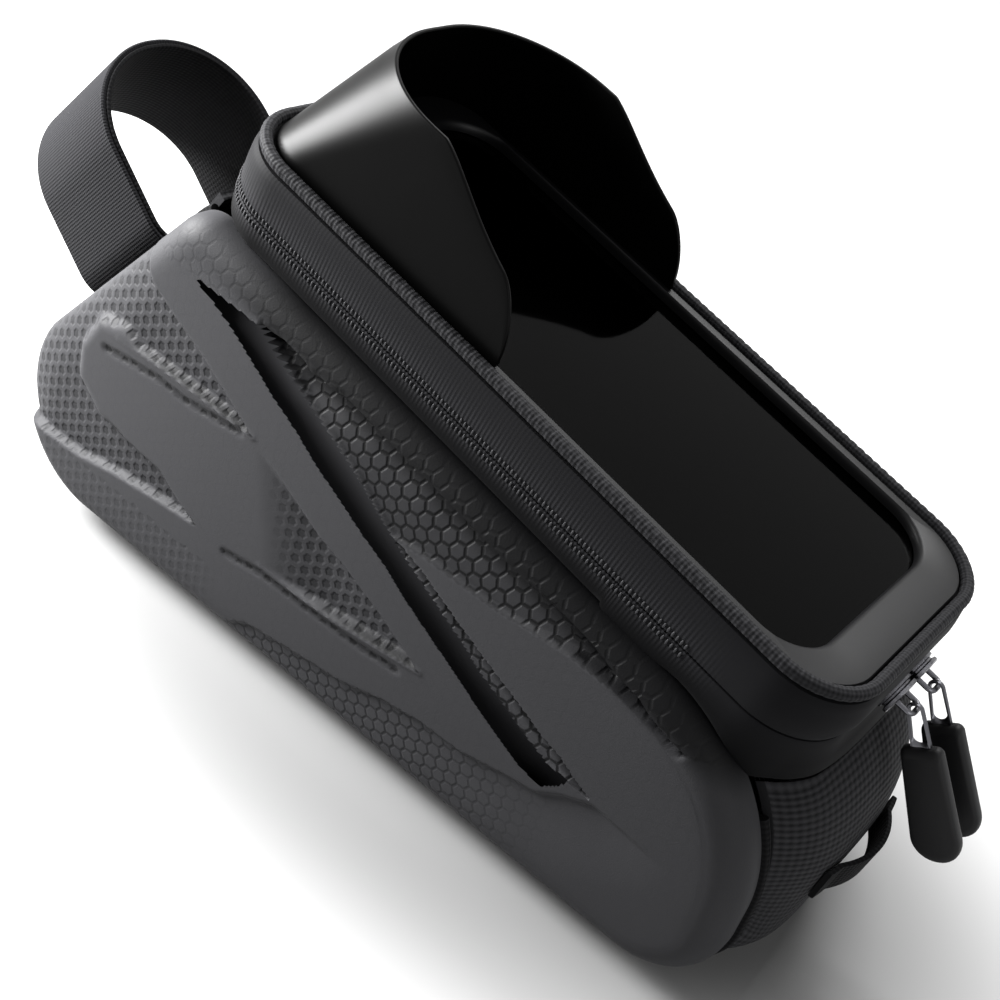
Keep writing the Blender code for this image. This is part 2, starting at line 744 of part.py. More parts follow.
def make_base():
    """Make the grip pad under the bag and the two tube straps that run through its channels."""
    pad = add_object("base_pad", box_mesh("base_pad", (-PAD_LENGTH / 2, -PAD_WIDTH / 2, 0.0),
                                          (PAD_LENGTH / 2, PAD_WIDTH / 2, PAD_HEIGHT), BASE_CORNER), "rubber")
    slot_height = TUBE_STRAP_THICK + 2 * GAP
    for name, side in (("front", -1), ("rear", 1)):
        x = side * TUBE_STRAP_SPACING / 2
        half = TUBE_STRAP_WIDTH / 2
        channel = box_mesh("channel", (x - half - GAP, -PAD_WIDTH, PAD_HEIGHT - slot_height),
                           (x + half + GAP, PAD_WIDTH, PAD_HEIGHT + slot_height))
        combine(pad, add_tool("channel_" + name, channel))
        low = PAD_HEIGHT - slot_height + GAP
        mesh = box_mesh("tube_strap_" + name, (x - half, -TUBE_STRAP_LENGTH / 2, low),
                        (x + half, TUBE_STRAP_LENGTH / 2, low + TUBE_STRAP_THICK), TUBE_STRAP_CORNER)
        add_object("tube_strap_" + name, mesh, "cloth")


def strap_empty():
    """Make the empty of the head tube strap: Z up the front face, X into the bag."""
    along = (SIDE_CORNERS[1] - TOP_FRONT).normalized()
    spot = TOP_FRONT + along * (TOP_FRONT_ROUND * KNEE_SHARE + STRAP_DROP)
    empty = bpy.data.objects.new("front_face", None)
    bag.objects.link(empty)
    empty.location = (spot.x, 0.0, spot.y)
    empty.rotation_euler = (0.0, math.pi / 2 - FRONT_SLOPE, 0.0)
    return empty


front_face = strap_empty()


def make_head_strap():
    """Make the strap loop for the head tube and the keeper sewn over it."""
    back = GAP
    half = HEAD_STRAP_WIDTH / 2
    corners = [Vector((-back, -HEAD_LOOP_WIDTH / 2)), Vector((-HEAD_LOOP_REACH, -HEAD_LOOP_WIDTH / 2)),
               Vector((-HEAD_LOOP_REACH, HEAD_LOOP_WIDTH / 2)), Vector((-back, HEAD_LOOP_WIDTH / 2))]
    bends = [HEAD_BACK_ROUND, HEAD_FRONT_ROUND, HEAD_FRONT_ROUND, HEAD_BACK_ROUND]
    outer = rounded_path(corners, bends, STRAP_STEPS, True)
    inner = rounded_path(inset_corners(corners, HEAD_STRAP_THICK),
                         [bend - HEAD_STRAP_THICK for bend in bends], STRAP_STEPS, True)
    rings = [[(p.x, p.y, -half), (p.x, p.y, half), (q.x, q.y, half), (q.x, q.y, -half)]
             for p, q in zip(outer, inner)]
    mesh = loft("head_tube_strap", rings, closed_path=True)
    add_object("head_tube_strap", mesh, "cloth", front_face, smooth=50)
    half += GAP
    depth = back + HEAD_STRAP_THICK + GAP
    outer = [(-GAP, -half - KEEPER_FOOT), (-depth - KEEPER_THICK, -half - KEEPER_SIDE),
             (-depth - KEEPER_THICK, half + KEEPER_SIDE), (-GAP, half + KEEPER_FOOT),
             (-GAP, half), (-depth, half), (-depth, -half), (-GAP, -half)]
    rings = [[(x, y, z) for x, z in outer] for y in (-KEEPER_LENGTH / 2, KEEPER_LENGTH / 2)]
    add_object("strap_keeper", loft("strap_keeper", rings), "cloth", front_face)


def make_light_loop():
    """Make the webbing loop across the rear face, sewn at both ends and standing off in the middle."""
    count = 17
    rings = []
    for step in range(count):
        share = -1 + 2 * step / (count - 1)
        y = share * LOOP_LENGTH / 2
        lift = LOOP_HEIGHT * max(0.0, 1 - (share / LOOP_FREE_SHARE) ** 2)
        low, high = LOOP_Z - LOOP_WIDTH / 2, LOOP_Z + LOOP_WIDTH / 2
        foot, head = (gusset_rear(y, height) + GAP + lift for height in (low, high))
        rings.append([(foot, y, low), (head, y, high),
                      (head + LOOP_THICK, y, high), (foot + LOOP_THICK, y, low)])
    add_object("light_loop", loft("light_loop", rings), "cloth", smooth=40)


def flat_outline(name, outline, thick, kind, parent, hole=None):
    """Make a flat piece from a 2D outline of its own X and Y, centred on its own Z."""
    if hole is None:
        rings = [[(p.x, p.y, -thick / 2) for p in outline], [(p.x, p.y, thick / 2) for p in outline]]
        return add_object(name, loft(name, rings), kind, parent, smooth=40)
    rings = [[(p.x, p.y, -thick / 2), (p.x, p.y, thick / 2), (q.x, q.y, thick / 2), (q.x, q.y, -thick / 2)]
             for p, q in zip(outline, hole)]
    return add_object(name, loft(name, rings, closed_path=True), kind, parent, smooth=40)


def stadium(start, end, radius_start, radius_end):
    """Return a long outline with round ends along its own X, which it meets at start and end."""
    points = []
    for step in range(PULL_STEPS + 1):
        angle = math.pi / 2 + math.pi * step / PULL_STEPS
        points.append(Vector((start + radius_start * (1 + math.cos(angle)), radius_start * math.sin(angle))))
    for step in range(PULL_STEPS + 1):
        angle = -math.pi / 2 + math.pi * step / PULL_STEPS
        points.append(Vector((end - radius_end * (1 - math.cos(angle)), radius_end * math.sin(angle))))
    return points


def make_slider(side_name, side):
    """Make a zip slider with its bail, and return the empty on which its pull swings."""
    spot = lid_world(LID_LENGTH / 2 + GAP, ZIP_DROP)
    base = bpy.data.objects.new("slider_place_" + side_name, None)
    bag.objects.link(base)
    middle_y = SLIDER_SHIFT + side * SLIDER_SPACING / 2
    base.location = (spot.x, middle_y, spot.y)
    base.rotation_euler = (0.0, LID_TILT, 0.0)
    body = box_mesh("slider_" + side_name, (0.0, -SLIDER_LENGTH / 2, -SLIDER_WIDTH / 2),
                    (SLIDER_THICK, SLIDER_LENGTH / 2, SLIDER_WIDTH / 2))
    slider = add_object("slider_" + side_name, body, "metal", base)
    bail = box_mesh("bail", (SLIDER_THICK - BAIL_ROOT, -BAIL_LENGTH / 2, -BAIL_RADIUS),
                    (SLIDER_THICK + BAIL_HEIGHT, BAIL_LENGTH / 2, BAIL_RADIUS))
    combine(slider, add_tool("bail_" + side_name, bail, base), 'UNION')
    leg = BAIL_LENGTH / 2 - 2 * BAIL_RADIUS
    window = box_mesh("bail_window", (SLIDER_THICK, -leg, -SLIDER_WIDTH),
                      (SLIDER_THICK + BAIL_HEIGHT - 2 * BAIL_RADIUS, leg, SLIDER_WIDTH))
    combine(slider, add_tool("bail_window_" + side_name, window, base))
    pivot = bpy.data.objects.new("pull_pivot_" + side_name, None)
    bag.objects.link(pivot)
    pivot_depth = SLIDER_THICK + BAIL_HEIGHT - BAIL_RADIUS
    pivot.location = (spot.x + pivot_depth * math.cos(LID_TILT), middle_y,
                      spot.y - pivot_depth * math.sin(LID_TILT))
    hang = Vector((math.sin(PULL_SWING), 0.0, -math.cos(PULL_SWING)))
    across = Vector((0.0, 1.0, 0.0))
    pivot.rotation_euler = Matrix((hang, across.cross(hang), across)).transposed().to_euler()
    return pivot


def make_pull(side_name, pivot):
    """Make the metal eye, which loops round the bail, and the rubber tab moulded on its end."""
    pivot_ring = EYE_HOLE + EYE_RIM
    outer = stadium(-pivot_ring, EYE_LENGTH, pivot_ring, EYE_WIDTH / 2)
    hole = stadium(-EYE_HOLE, EYE_LENGTH - TAB_OVERLAP - EYE_RIM, EYE_HOLE, EYE_WIDTH / 2 - EYE_RIM)
    flat_outline("pull_eye_" + side_name, outer, EYE_THICK, "metal", pivot, hole)
    start = EYE_LENGTH - TAB_OVERLAP
    end = start + TAB_LENGTH
    half_top = TAB_TOP_WIDTH / 2
    half_end = TAB_END_WIDTH / 2
    corners = [Vector((start, -half_top)), Vector((end, -half_end)), Vector((end, half_end)),
               Vector((start, half_top))]
    bends = [TAB_TOP_ROUND, TAB_END_ROUND, TAB_END_ROUND, TAB_TOP_ROUND]
    outline = rounded_path(corners, bends, PULL_STEPS, True)
    tab = flat_outline("pull_tab_" + side_name, outline, TAB_THICK, "rubber", pivot)
    socket = box_mesh("socket", (start - SOCKET_MOUTH, -EYE_WIDTH / 2 - GAP, -EYE_THICK / 2 - GAP),
                      (EYE_LENGTH + GAP, EYE_WIDTH / 2 + GAP, EYE_THICK / 2 + GAP))
    combine(tab, add_tool("tab_socket_" + side_name, socket, pivot))


make_side_shells()
make_gusset()
make_piping()
make_rim()
make_lid_wall()
make_binding()
make_frame_and_window()
make_hood()
make_phone_pocket()
make_base()
make_head_strap()
make_light_loop()
for place, direction in (("left", -1), ("right", 1)):
    make_pull(place, make_slider(place, direction))
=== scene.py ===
# %% [markdown]
# # A zipped top tube bag with moulded sides, a phone window and a glossy hood
#
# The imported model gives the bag's real sizes, its pieces and its moving bodies. This script dresses it:
# each plain piece is rebuilt in its own place with a finer surface, and gets a material that starts from
# what the real one is made of. Lengths are in metres, -X is the front, -Y is the shown side, +Z is up.

# %% Load the frame
import cmath
import math

import bmesh
import bpy
import numpy as np
from mathutils import Matrix, Vector


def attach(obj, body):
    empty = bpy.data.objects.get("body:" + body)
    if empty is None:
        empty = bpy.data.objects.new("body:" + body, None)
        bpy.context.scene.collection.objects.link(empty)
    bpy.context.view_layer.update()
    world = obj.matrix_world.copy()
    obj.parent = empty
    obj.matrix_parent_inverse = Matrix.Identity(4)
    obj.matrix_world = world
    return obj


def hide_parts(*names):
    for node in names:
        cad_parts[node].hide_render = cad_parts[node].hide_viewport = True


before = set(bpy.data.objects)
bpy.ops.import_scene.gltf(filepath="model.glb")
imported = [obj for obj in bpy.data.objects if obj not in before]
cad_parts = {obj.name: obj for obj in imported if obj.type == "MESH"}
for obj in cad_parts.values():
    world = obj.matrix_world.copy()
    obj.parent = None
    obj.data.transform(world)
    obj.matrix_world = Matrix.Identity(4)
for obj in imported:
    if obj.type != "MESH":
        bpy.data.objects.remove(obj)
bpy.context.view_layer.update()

# %% [markdown]
# ## Camera
#
# The photograph looks at the bag from its left rear, from above, with the camera rolled so that the bag
# seems to stand on its lower rear corner. The camera's own axes are written down as three directions.

# %% Camera
SHOT_PLACE = Vector((0.16756, -0.27839, 0.28415))
SHOT_RIGHT = Vector((0.75357, 0.60990, 0.24527))
SHOT_UP = Vector((-0.52643, 0.33644, 0.78082))
SHOT_BACK = Vector((0.39370, -0.71752, 0.57460))
LENS_MM, SENSOR_MM, NEAREST = 52.2, 36.0, 0.01

lens = bpy.data.cameras.new("camera")
lens.lens = LENS_MM
lens.sensor_width = SENSOR_MM
lens.clip_start = NEAREST
shot = bpy.data.objects.new("camera", lens)
bpy.context.scene.collection.objects.link(shot)
shot.location = SHOT_PLACE
turn = np.array([SHOT_RIGHT, SHOT_UP, SHOT_BACK]).T
shot.rotation_mode = "QUATERNION"
shot.rotation_quaternion = Matrix(turn.tolist()).to_quaternion()
bpy.context.scene.camera = shot
bpy.context.scene.view_settings.view_transform = "Standard"
print("camera at", [round(v, 3) for v in shot.location])

# %% [markdown]
# ## Colours and nodes
#
# Paint and cloth colours are easiest to read as the hex codes of a screen. The renderer works with linear
# light, so one function turns a hex code into linear numbers. A second one adds a shader node with its
# settings and its links, which keeps each material short enough to read. The others call it for the kinds
# of node that come up most: sums, vectors, smooth steps and the values painted on a mesh's points.


# %% Helpers for colours, nodes and objects
def paint(code):
    """Return an sRGB hex code as a linear colour."""
    shares = [int(code[start:start + 2], 16) / 255 for start in (1, 3, 5)]
    linear = [share / 12.92 if share <= 0.04045 else ((share + 0.055) / 1.055) ** 2.4 for share in shares]
    return (*linear, 1.0)


def add_node(tree, kind, settings=None, sockets=None):
    """Add a node, set its settings, and link or fill its input sockets."""
    node = tree.nodes.new(kind)
    for name, value in (settings or {}).items():
        setattr(node, name, value)
    for key, value in (sockets or {}).items():
        if isinstance(value, bpy.types.Node):
            value = value.outputs[0]
        if isinstance(value, bpy.types.NodeSocket):
            tree.links.new(value, node.inputs[key])
        else:
            node.inputs[key].default_value = value
    return node


def calculate(tree, operation, *values, **settings):
    """Add a math node that works on the given values."""
    return add_node(tree, "ShaderNodeMath", {"operation": operation, **settings}, dict(enumerate(values)))


def calculate_vector(tree, operation, *values, **sockets):
    """Add a vector math node that works on the given values."""
    return add_node(tree, "ShaderNodeVectorMath", {"operation": operation}, {**dict(enumerate(values)), **sockets})


def step_between(tree, value, low, high, top=1.0):
    """Add a node that rises smoothly from 0 to a top value while its input goes from low to high."""
    return add_node(tree, "ShaderNodeMapRange", {"interpolation_type": "SMOOTHSTEP"},
                    {"Value": value, "From Min": low, "From Max": high, "To Min": 0.0, "To Max": top})


def painted(tree, name):
    """Return the socket that reads a value painted on the mesh's points."""
    return add_node(tree, "ShaderNodeAttribute", {"attribute_name": name}).outputs["Fac"]


def put(name, data):
    """Put new data into the scene as an object."""
    made = bpy.data.objects.new(name, data)
    bpy.context.scene.collection.objects.link(made)
    return made


print("black cloth in linear light:", [round(v, 4) for v in paint("#1e1e20")])

# %% [markdown]
# ## Floor and light
#
# A product picture like this one stands on white, with a soft grey shadow. A big round floor takes the
# shadow. To camera, mirror and glass rays it also glows, not at all under the bag and more with distance,
# so that the shadow fades into the white world, which shows to the same rays only. The light on the bag
# is soft: a near lamp before its left side, a wide one overhead, and a faint fill from the rear.


# %% Floor and world
FLOOR_RADIUS, FLOOR_DROP = 6.0, 0.0002
GLOW_SHAPE, GLOW_SHIFT = (0.53, 1.0, 0.0), (-0.01, 0.0, 0.0)
GLOW_FROM, GLOW_TO, GLOW_STRENGTH = 0.06, 0.13, 0.9
WORLD_DIM, WORLD_WHITE = 0.05, 1.0


def seen_directly(tree):
    """Return 1 for camera, mirror and glass rays, and 0 for the rays that only carry light."""
    path = add_node(tree, "ShaderNodeLightPath")
    seen = calculate(tree, "MAXIMUM", path.outputs["Is Camera Ray"], path.outputs["Is Glossy Ray"])
    return calculate(tree, "MAXIMUM", seen, path.outputs["Is Transmission Ray"])


def floor_finish():
    """Make the floor's paint: grey for light, glowing with distance for the camera."""
    finish = bpy.data.materials.new("white_paper_floor")
    finish.use_nodes = True
    tree = finish.node_tree
    shader = tree.nodes["Principled BSDF"]
    shader.inputs["Base Color"].default_value = paint("#8c8c8c")
    shader.inputs["Roughness"].default_value = 0.9
    shader.inputs["Specular IOR Level"].default_value = 0.0
    place = add_node(tree, "ShaderNodeTexCoord").outputs["Object"]
    away = calculate_vector(tree, "LENGTH", calculate_vector(tree, "MULTIPLY_ADD", place, GLOW_SHAPE, GLOW_SHIFT))
    level = step_between(tree, away.outputs["Value"], GLOW_FROM, GLOW_TO, GLOW_STRENGTH)
    glow = add_node(tree, "ShaderNodeEmission", sockets={"Color": (1, 1, 1, 1), "Strength": level})
    both = add_node(tree, "ShaderNodeAddShader", sockets={0: shader, 1: glow})
    pick = add_node(tree, "ShaderNodeMixShader", sockets={0: seen_directly(tree), 1: shader, 2: both})
    tree.links.new(pick.outputs[0], tree.nodes["Material Output"].inputs["Surface"])
    return finish


def make_stage():
    """Make the floor and the white world."""
    mesh = bpy.data.meshes.new("studio_floor")
    builder = bmesh.new()
    bmesh.ops.create_circle(builder, cap_ends=True, segments=64, radius=FLOOR_RADIUS)
    builder.to_mesh(mesh)
    builder.free()
    floor = put("studio_floor", mesh)
    floor.location.z = -FLOOR_DROP
    mesh.materials.append(floor_finish())

    world = bpy.data.worlds.new("white_studio")
    bpy.context.scene.world = world
    world.use_nodes = True
    tree = world.node_tree
    level = add_node(tree, "ShaderNodeMapRange",
                     sockets={"Value": seen_directly(tree), "To Min": WORLD_DIM, "To Max": WORLD_WHITE})
    back = tree.nodes["Background"]
    back.inputs["Color"].default_value = (1, 1, 1, 1)
    tree.links.new(level.outputs[0], back.inputs["Strength"])


make_stage()
print("floor of", FLOOR_RADIUS, "m and a white world")

# %% Lamps
LAMP_AIM = Vector((0.0, 0.0, 0.07))
LAMPS = [("key_left_front", (-0.36, -0.13, 0.24), 0.20, 10.0), ("overhead", (-0.05, 0.42, 0.85), 0.50, 12.0),
         ("rear_fill", (0.60, -0.25, 0.30), 0.40, 1.2)]

for name, place, size, power in LAMPS:
    lamp = bpy.data.lights.new(name, "AREA")
    lamp.size = size
    lamp.energy = power
    holder = put(name, lamp)
    holder.location = place
    holder.rotation_euler = (LAMP_AIM - Vector(place)).to_track_quat("-Z", "Y").to_euler()
print("lamps:", [lamp[0] for lamp in LAMPS])

# %% [markdown]
# ## Outlines
#
# Nearly every piece of the bag is a sheet bent along an outline with round corners: the side view of the
# shells, the plan of the lid, the section of a strap. In the plane a point is one complex number, so that
# turning is a multiplication, and one function rounds every corner of a path.


# %% Rounding and spacing points
def rounded(corners, radii, steps, closed=True):
    """Round the corners of a path of complex points; an open path keeps its ends."""
    points = []
    count = len(corners)
    for index, corner in enumerate(corners):
        if not closed and index in (0, count - 1):
            points.append(corner)
            continue
        first = corners[index - 1] - corner
        second = corners[(index + 1) % count] - corner
        first, second = first / abs(first), second / abs(second)
        half = abs(cmath.phase(second / first)) / 2
        middle = (first + second) / abs(first + second)
        centre = corner + middle * radii[index] / math.sin(half)
        start = corner + first * radii[index] / math.tan(half) - centre
        end = corner + second * radii[index] / math.tan(half) - centre
        sweep = cmath.phase(end / start)
        points += [centre + start * cmath.exp(1j * sweep * step / steps) for step in range(steps + 1)]
    return np.array(points)


def inset(corners, distance):
    """Move every edge of a closed polygon of complex points inwards."""
    area = sum((a.conjugate() * b).imag for a, b in zip(corners, corners[1:] + corners[:1]))
    side = 1j if area > 0 else -1j
    moved = []
    for index, corner in enumerate(corners):
        into = corner - corners[index - 1]
        out = corners[(index + 1) % len(corners)] - corner
        into, out = into / abs(into) * side, out / abs(out) * side
        middle = (into + out) / abs(into + out)
        moved.append(corner + middle * distance / max((middle * into.conjugate()).real, 0.25))
    return moved


def evenly(points, count):
    """Place count points evenly along an open path of complex or 3D points."""
    points = np.asarray(points)
    steps = np.abs(np.diff(points)) if points.ndim == 1 else np.linalg.norm(np.diff(points, axis=0), axis=1)
    travelled = np.concatenate([[0.0], np.cumsum(steps)])
    wanted = np.linspace(0.0, travelled[-1], count)
    if points.ndim == 1:
        return np.interp(wanted, travelled, points.real) + 1j * np.interp(wanted, travelled, points.imag)
    return np.stack([np.interp(wanted, travelled, points[:, axis]) for axis in range(points.shape[1])], 1)


# %% [markdown]
# ## Skins
#
# A loft is a stack of rings with the same number of points. This function joins them with quads, turns the
# faces outwards by the sign of the enclosed volume, and writes a UV map in metres, so that a weave can
# follow the surface at its real thread size.


# %% Skin a stack of rings
def paint_points(mesh, fields):
    """Write named values on a mesh's points, where a material can read them."""
    for field, values in fields.items():
        attribute = mesh.attributes.new(field, "FLOAT", "POINT")
        attribute.data.foreach_set("value", np.asarray(values, np.float32).ravel())


def skin(name, rings, looped=False, fields=None):
    """Skin rings of shape (rings, points, 3); a looped stack closes on itself, any other gets end caps."""
    rings = np.asarray(rings, float)
    count, size = rings.shape[:2]
    spans = count if looped else count - 1
    row, column = np.meshgrid(np.arange(spans), np.arange(size), indexing="ij")
    after_row, after_column = (row + 1) % count, (column + 1) % size
    quads = np.stack([row * size + column, row * size + after_column,
                      after_row * size + after_column, after_row * size + column], -1).reshape(-1, 4)
    closing = rings[:, list(range(1, size)) + [0]] - rings
    across = np.concatenate([[0.0], np.cumsum(np.linalg.norm(closing, axis=2).mean(0))])
    steps = np.linalg.norm(np.roll(rings, -1, axis=0) - rings, axis=2).mean(1)[:spans]
    along = np.concatenate([[0.0], np.cumsum(steps)])
    corners = np.stack([np.stack([across[column], along[row]], -1), np.stack([across[column + 1], along[row]], -1),
                        np.stack([across[column + 1], along[row + 1]], -1),
                        np.stack([across[column], along[row + 1]], -1)], 2).reshape(-1, 4, 2)
    points = rings.reshape(-1, 3)
    a, b, c, d = (points[quads[:, index]] for index in range(4))
    volume = np.einsum("ij,ij->", a, np.cross(b, c)) + np.einsum("ij,ij->", a, np.cross(c, d))
    caps = [] if looped else [list(range(size))[::-1], list(range((count - 1) * size, count * size))]
    if not looped:
        for cap in caps:
            ring = points[cap]
            middle = ring.mean(0)
            volume += np.einsum("j,ij->", middle, np.cross(ring, np.roll(ring, -1, axis=0)))
    if volume < 0:
        quads, corners = quads[:, ::-1], corners[:, ::-1]
        caps = [cap[::-1] for cap in caps]
    mesh = bpy.data.meshes.new(name)
    mesh.from_pydata(points.tolist(), [], quads.tolist() + caps)
    layer = mesh.uv_layers.new(name="metres")
    flat = np.zeros((len(mesh.loops), 2), np.float32)
    flat[:quads.size] = corners.reshape(-1, 2)
    layer.data.foreach_set("uv", flat.ravel())
    paint_points(mesh, fields or {})
    return mesh


def dress(name, mesh, material, body, nodes=(), sharp=40):
    """Make a finished piece of a mesh: its material, its body, and the plain nodes that it stands for."""
    made = put(name, mesh)
    if not mesh.materials:
        mesh.materials.append(material)
    mesh.shade_smooth()
    mesh.set_sharp_from_angle(angle=math.radians(sharp))
    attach(made, body)
    if nodes:
        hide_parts(*nodes)
    print(f"{name}: {len(mesh.polygons)} faces on {body}")
    return made


# %% [markdown]
# ## Materials
#
# The bag is black all over, so its pieces differ by how they catch light and not by colour: moulded foam
# board with a dull skin, ribbed tape, corded cloth, a braided edge, glossy PVC, rubber and nickel.


# %% Start a material
def start_material(name, code, roughness, **sockets):
    """Return a new material with its tree and shader; keyword names are sockets with _ for a space."""
    material = bpy.data.materials.new(name)
    material.use_nodes = True
    tree = material.node_tree
    shader = tree.nodes["Principled BSDF"]
    shader.inputs["Base Color"].default_value = paint(code)
    shader.inputs["Roughness"].default_value = roughness
    for socket, value in sockets.items():
        shader.inputs[socket.replace("_", " ")].default_value = value
    return material, tree, shader


def emboss(tree, shader, height, depth):
    """Raise the surface by a height from 0 to 1, times a depth in metres."""
    bump = add_node(tree, "ShaderNodeBump", sockets={"Height": height, "Distance": depth, "Strength": 1.0})
    tree.links.new(bump.outputs["Normal"], shader.inputs["Normal"])


def tint(tree, shader, share, dark, light):
    """Colour the surface from a dark to a light hex code by a share from 0 to 1."""
    mix = add_node(tree, "ShaderNodeMix", {"data_type": "RGBA"}, {0: share, 6: paint(dark), 7: paint(light)})
    tree.links.new(mix.outputs[2], shader.inputs["Base Color"])


# %% [markdown]
# ### Moulded foam board
#
# The side shells are EVA foam pressed hot under a thin cloth-backed film. The mould leaves a honeycomb of
# cells 4 mm apart, sunk as pits in some fields and raised as domes in others, and a fine grain elsewhere. The
# honeycomb is worked out from the distance to the nearest of two interleaved grids of cell centres, and a
# point attribute called "comb", painted by the mesh code, says how strongly it shows: above zero as domes,
# below zero as pits. The colour is painted shade too: darker between the domes and inside the pits. A second
# point value paints shade as well, nearly black, into the deepest creases and onto the board's edge under the zip.


# %% Honeycomb and shell material
def honeycomb(tree, flat, pitch):
    """Return how far a point lies from its cell's edge, in shares of the pitch."""
    root = math.sqrt(3.0)
    scaled = calculate_vector(tree, "SCALE", flat, Scale=1 / pitch)
    offsets = []
    for shift in (0.0, 0.5):
        place = (GRID_AWAY + shift, GRID_AWAY * root + shift * root, 0.5)
        folded = calculate_vector(tree, "MODULO", calculate_vector(tree, "ADD", scaled, place), (1.0, root, 1.0))
        offsets.append(calculate_vector(tree, "SUBTRACT", folded, (0.5, root / 2, 0.5)))
    reach = [calculate_vector(tree, "DOT_PRODUCT", offset, offset).outputs["Value"] for offset in offsets]
    nearer = calculate(tree, "LESS_THAN", *reach)
    pick = add_node(tree, "ShaderNodeMix", {"data_type": "VECTOR"}, {0: nearer, 4: offsets[1], 5: offsets[0]})
    size = calculate_vector(tree, "ABSOLUTE", pick.outputs[1])
    slanted = calculate_vector(tree, "DOT_PRODUCT", size, (0.5, root / 2, 0.0))
    level = add_node(tree, "ShaderNodeSeparateXYZ", sockets={0: size})
    far = calculate(tree, "MAXIMUM", slanted.outputs["Value"], level.outputs["X"])
    return calculate(tree, "SUBTRACT", 0.5, far)


CELL_PITCH, GRID_AWAY = 0.0040, 500.0
DOME_EDGE, PIT_EDGE = (0.02, 0.16), (0.10, 0.30)
GRAIN_SCALE, GRAIN_SHARE, PRESS_DEPTH = 2600.0, 0.16, 0.00024
# The dark code is painted shade for hollows, creases and edges; the light one is the board's own colour.
BOARD_PAINTED_SHADE, BOARD_LIGHT = "#040405", "#343436"


def shell_skin():
    """Make the moulded foam board's finish."""
    material, tree, shader = start_material("moulded_foam_board", BOARD_LIGHT, 0.58, Specular_IOR_Level=0.1)
    place = add_node(tree, "ShaderNodeTexCoord").outputs["Object"]
    axes = add_node(tree, "ShaderNodeSeparateXYZ", sockets={0: place})
    flat = add_node(tree, "ShaderNodeCombineXYZ", sockets={"X": axes.outputs["Z"], "Y": axes.outputs["X"]})
    edge = honeycomb(tree, flat, CELL_PITCH)
    comb = painted(tree, "comb")
    domed, pitted = calculate(tree, "MAXIMUM", comb, 0.0), calculate(tree, "MINIMUM", comb, 0.0)
    domes = calculate(tree, "MULTIPLY", step_between(tree, edge, *DOME_EDGE), domed)
    pits = calculate(tree, "MULTIPLY", step_between(tree, edge, *PIT_EDGE), pitted)
    grain = add_node(tree, "ShaderNodeTexNoise", sockets={"Vector": place, "Scale": GRAIN_SCALE, "Detail": 2.0})
    fine = calculate(tree, "MULTIPLY", grain.outputs[0], GRAIN_SHARE)
    height = calculate(tree, "ADD", calculate(tree, "ADD", domes, pits), fine)
    emboss(tree, shader, height, PRESS_DEPTH)
    # The colour is painted shade: darker between the domes, inside the pits, and by the second painted value in the
    # creases and on the edge under the zip.
    shown = calculate(tree, "ADD", domes, calculate(tree, "MULTIPLY", pits, 0.5))
    under = calculate(tree, "ADD", domed, painted(tree, "painted_shade"))
    share = calculate(tree, "ADD", calculate(tree, "SUBTRACT", shown, under), 1.0, use_clamp=True)
    tint(tree, shader, share, BOARD_PAINTED_SHADE, BOARD_LIGHT)
    return material


foam_board = shell_skin()
print("honeycomb pitch in mm:", CELL_PITCH * 1000)

# %% [markdown]
# ### Woven and corded cloths
#
# Tape, gusset and webbing are woven, and a weave is two sets of threads that cross. Each set is a sine
# across the piece's own UV map, which is in metres, so the number of threads comes from the real spacing.
# One function makes them all, with its own thread spacings and depths. Their colour is painted shade, dark
# in the valleys between threads and light on their tops. The zip tape's ribs show only where its mesh is
# painted so, and a second painted value paints shade: it turns the tape black where it lies deep under the zip
# and on its hidden inner side.


# %% Cloth materials
FUZZ_SCALE, FUZZ_SHARE = 1800.0, 0.2


def woven(name, dark, light, roughness, warp, weft, depth, share=0.5, mask=None):
    """Make a cloth whose ribs repeat every warp across and every weft along; share weighs the two."""
    material, tree, shader = start_material(name, light, roughness, Sheen_Weight=0.01, Sheen_Roughness=0.5,
                                            Specular_IOR_Level=0.05)
    uv = add_node(tree, "ShaderNodeUVMap", {"uv_map": "metres"})
    axes = add_node(tree, "ShaderNodeSeparateXYZ", sockets={0: uv})
    waves = []
    for axis, pitch in (("X", warp), ("Y", weft)):
        wave = calculate(tree, "SINE", calculate(tree, "MULTIPLY", axes.outputs[axis], 2 * math.pi / pitch))
        waves.append(add_node(tree, "ShaderNodeMapRange", sockets={"Value": wave, "From Min": -1.0}))
    height = calculate(tree, "ADD", calculate(tree, "MULTIPLY", waves[0], share),
                       calculate(tree, "MULTIPLY", waves[1], 1 - share))
    place = add_node(tree, "ShaderNodeTexCoord").outputs["Object"]
    fuzz = add_node(tree, "ShaderNodeTexNoise", sockets={"Vector": place, "Scale": FUZZ_SCALE})
    total = calculate(tree, "ADD", height, calculate(tree, "MULTIPLY", fuzz.outputs[0], FUZZ_SHARE))
    # The colour is painted shade: dark in the valleys between threads and light on their tops; on the zip tape a
    # second painted value also paints black shade.
    shade = total
    if mask:
        total = calculate(tree, "MULTIPLY", total, painted(tree, mask))
        shade = calculate(tree, "MULTIPLY", calculate(tree, "ADD", total, 0.35), painted(tree, "painted_light_share"))
    emboss(tree, shader, total, depth)
    tint(tree, shader, shade, dark, light)
    return material


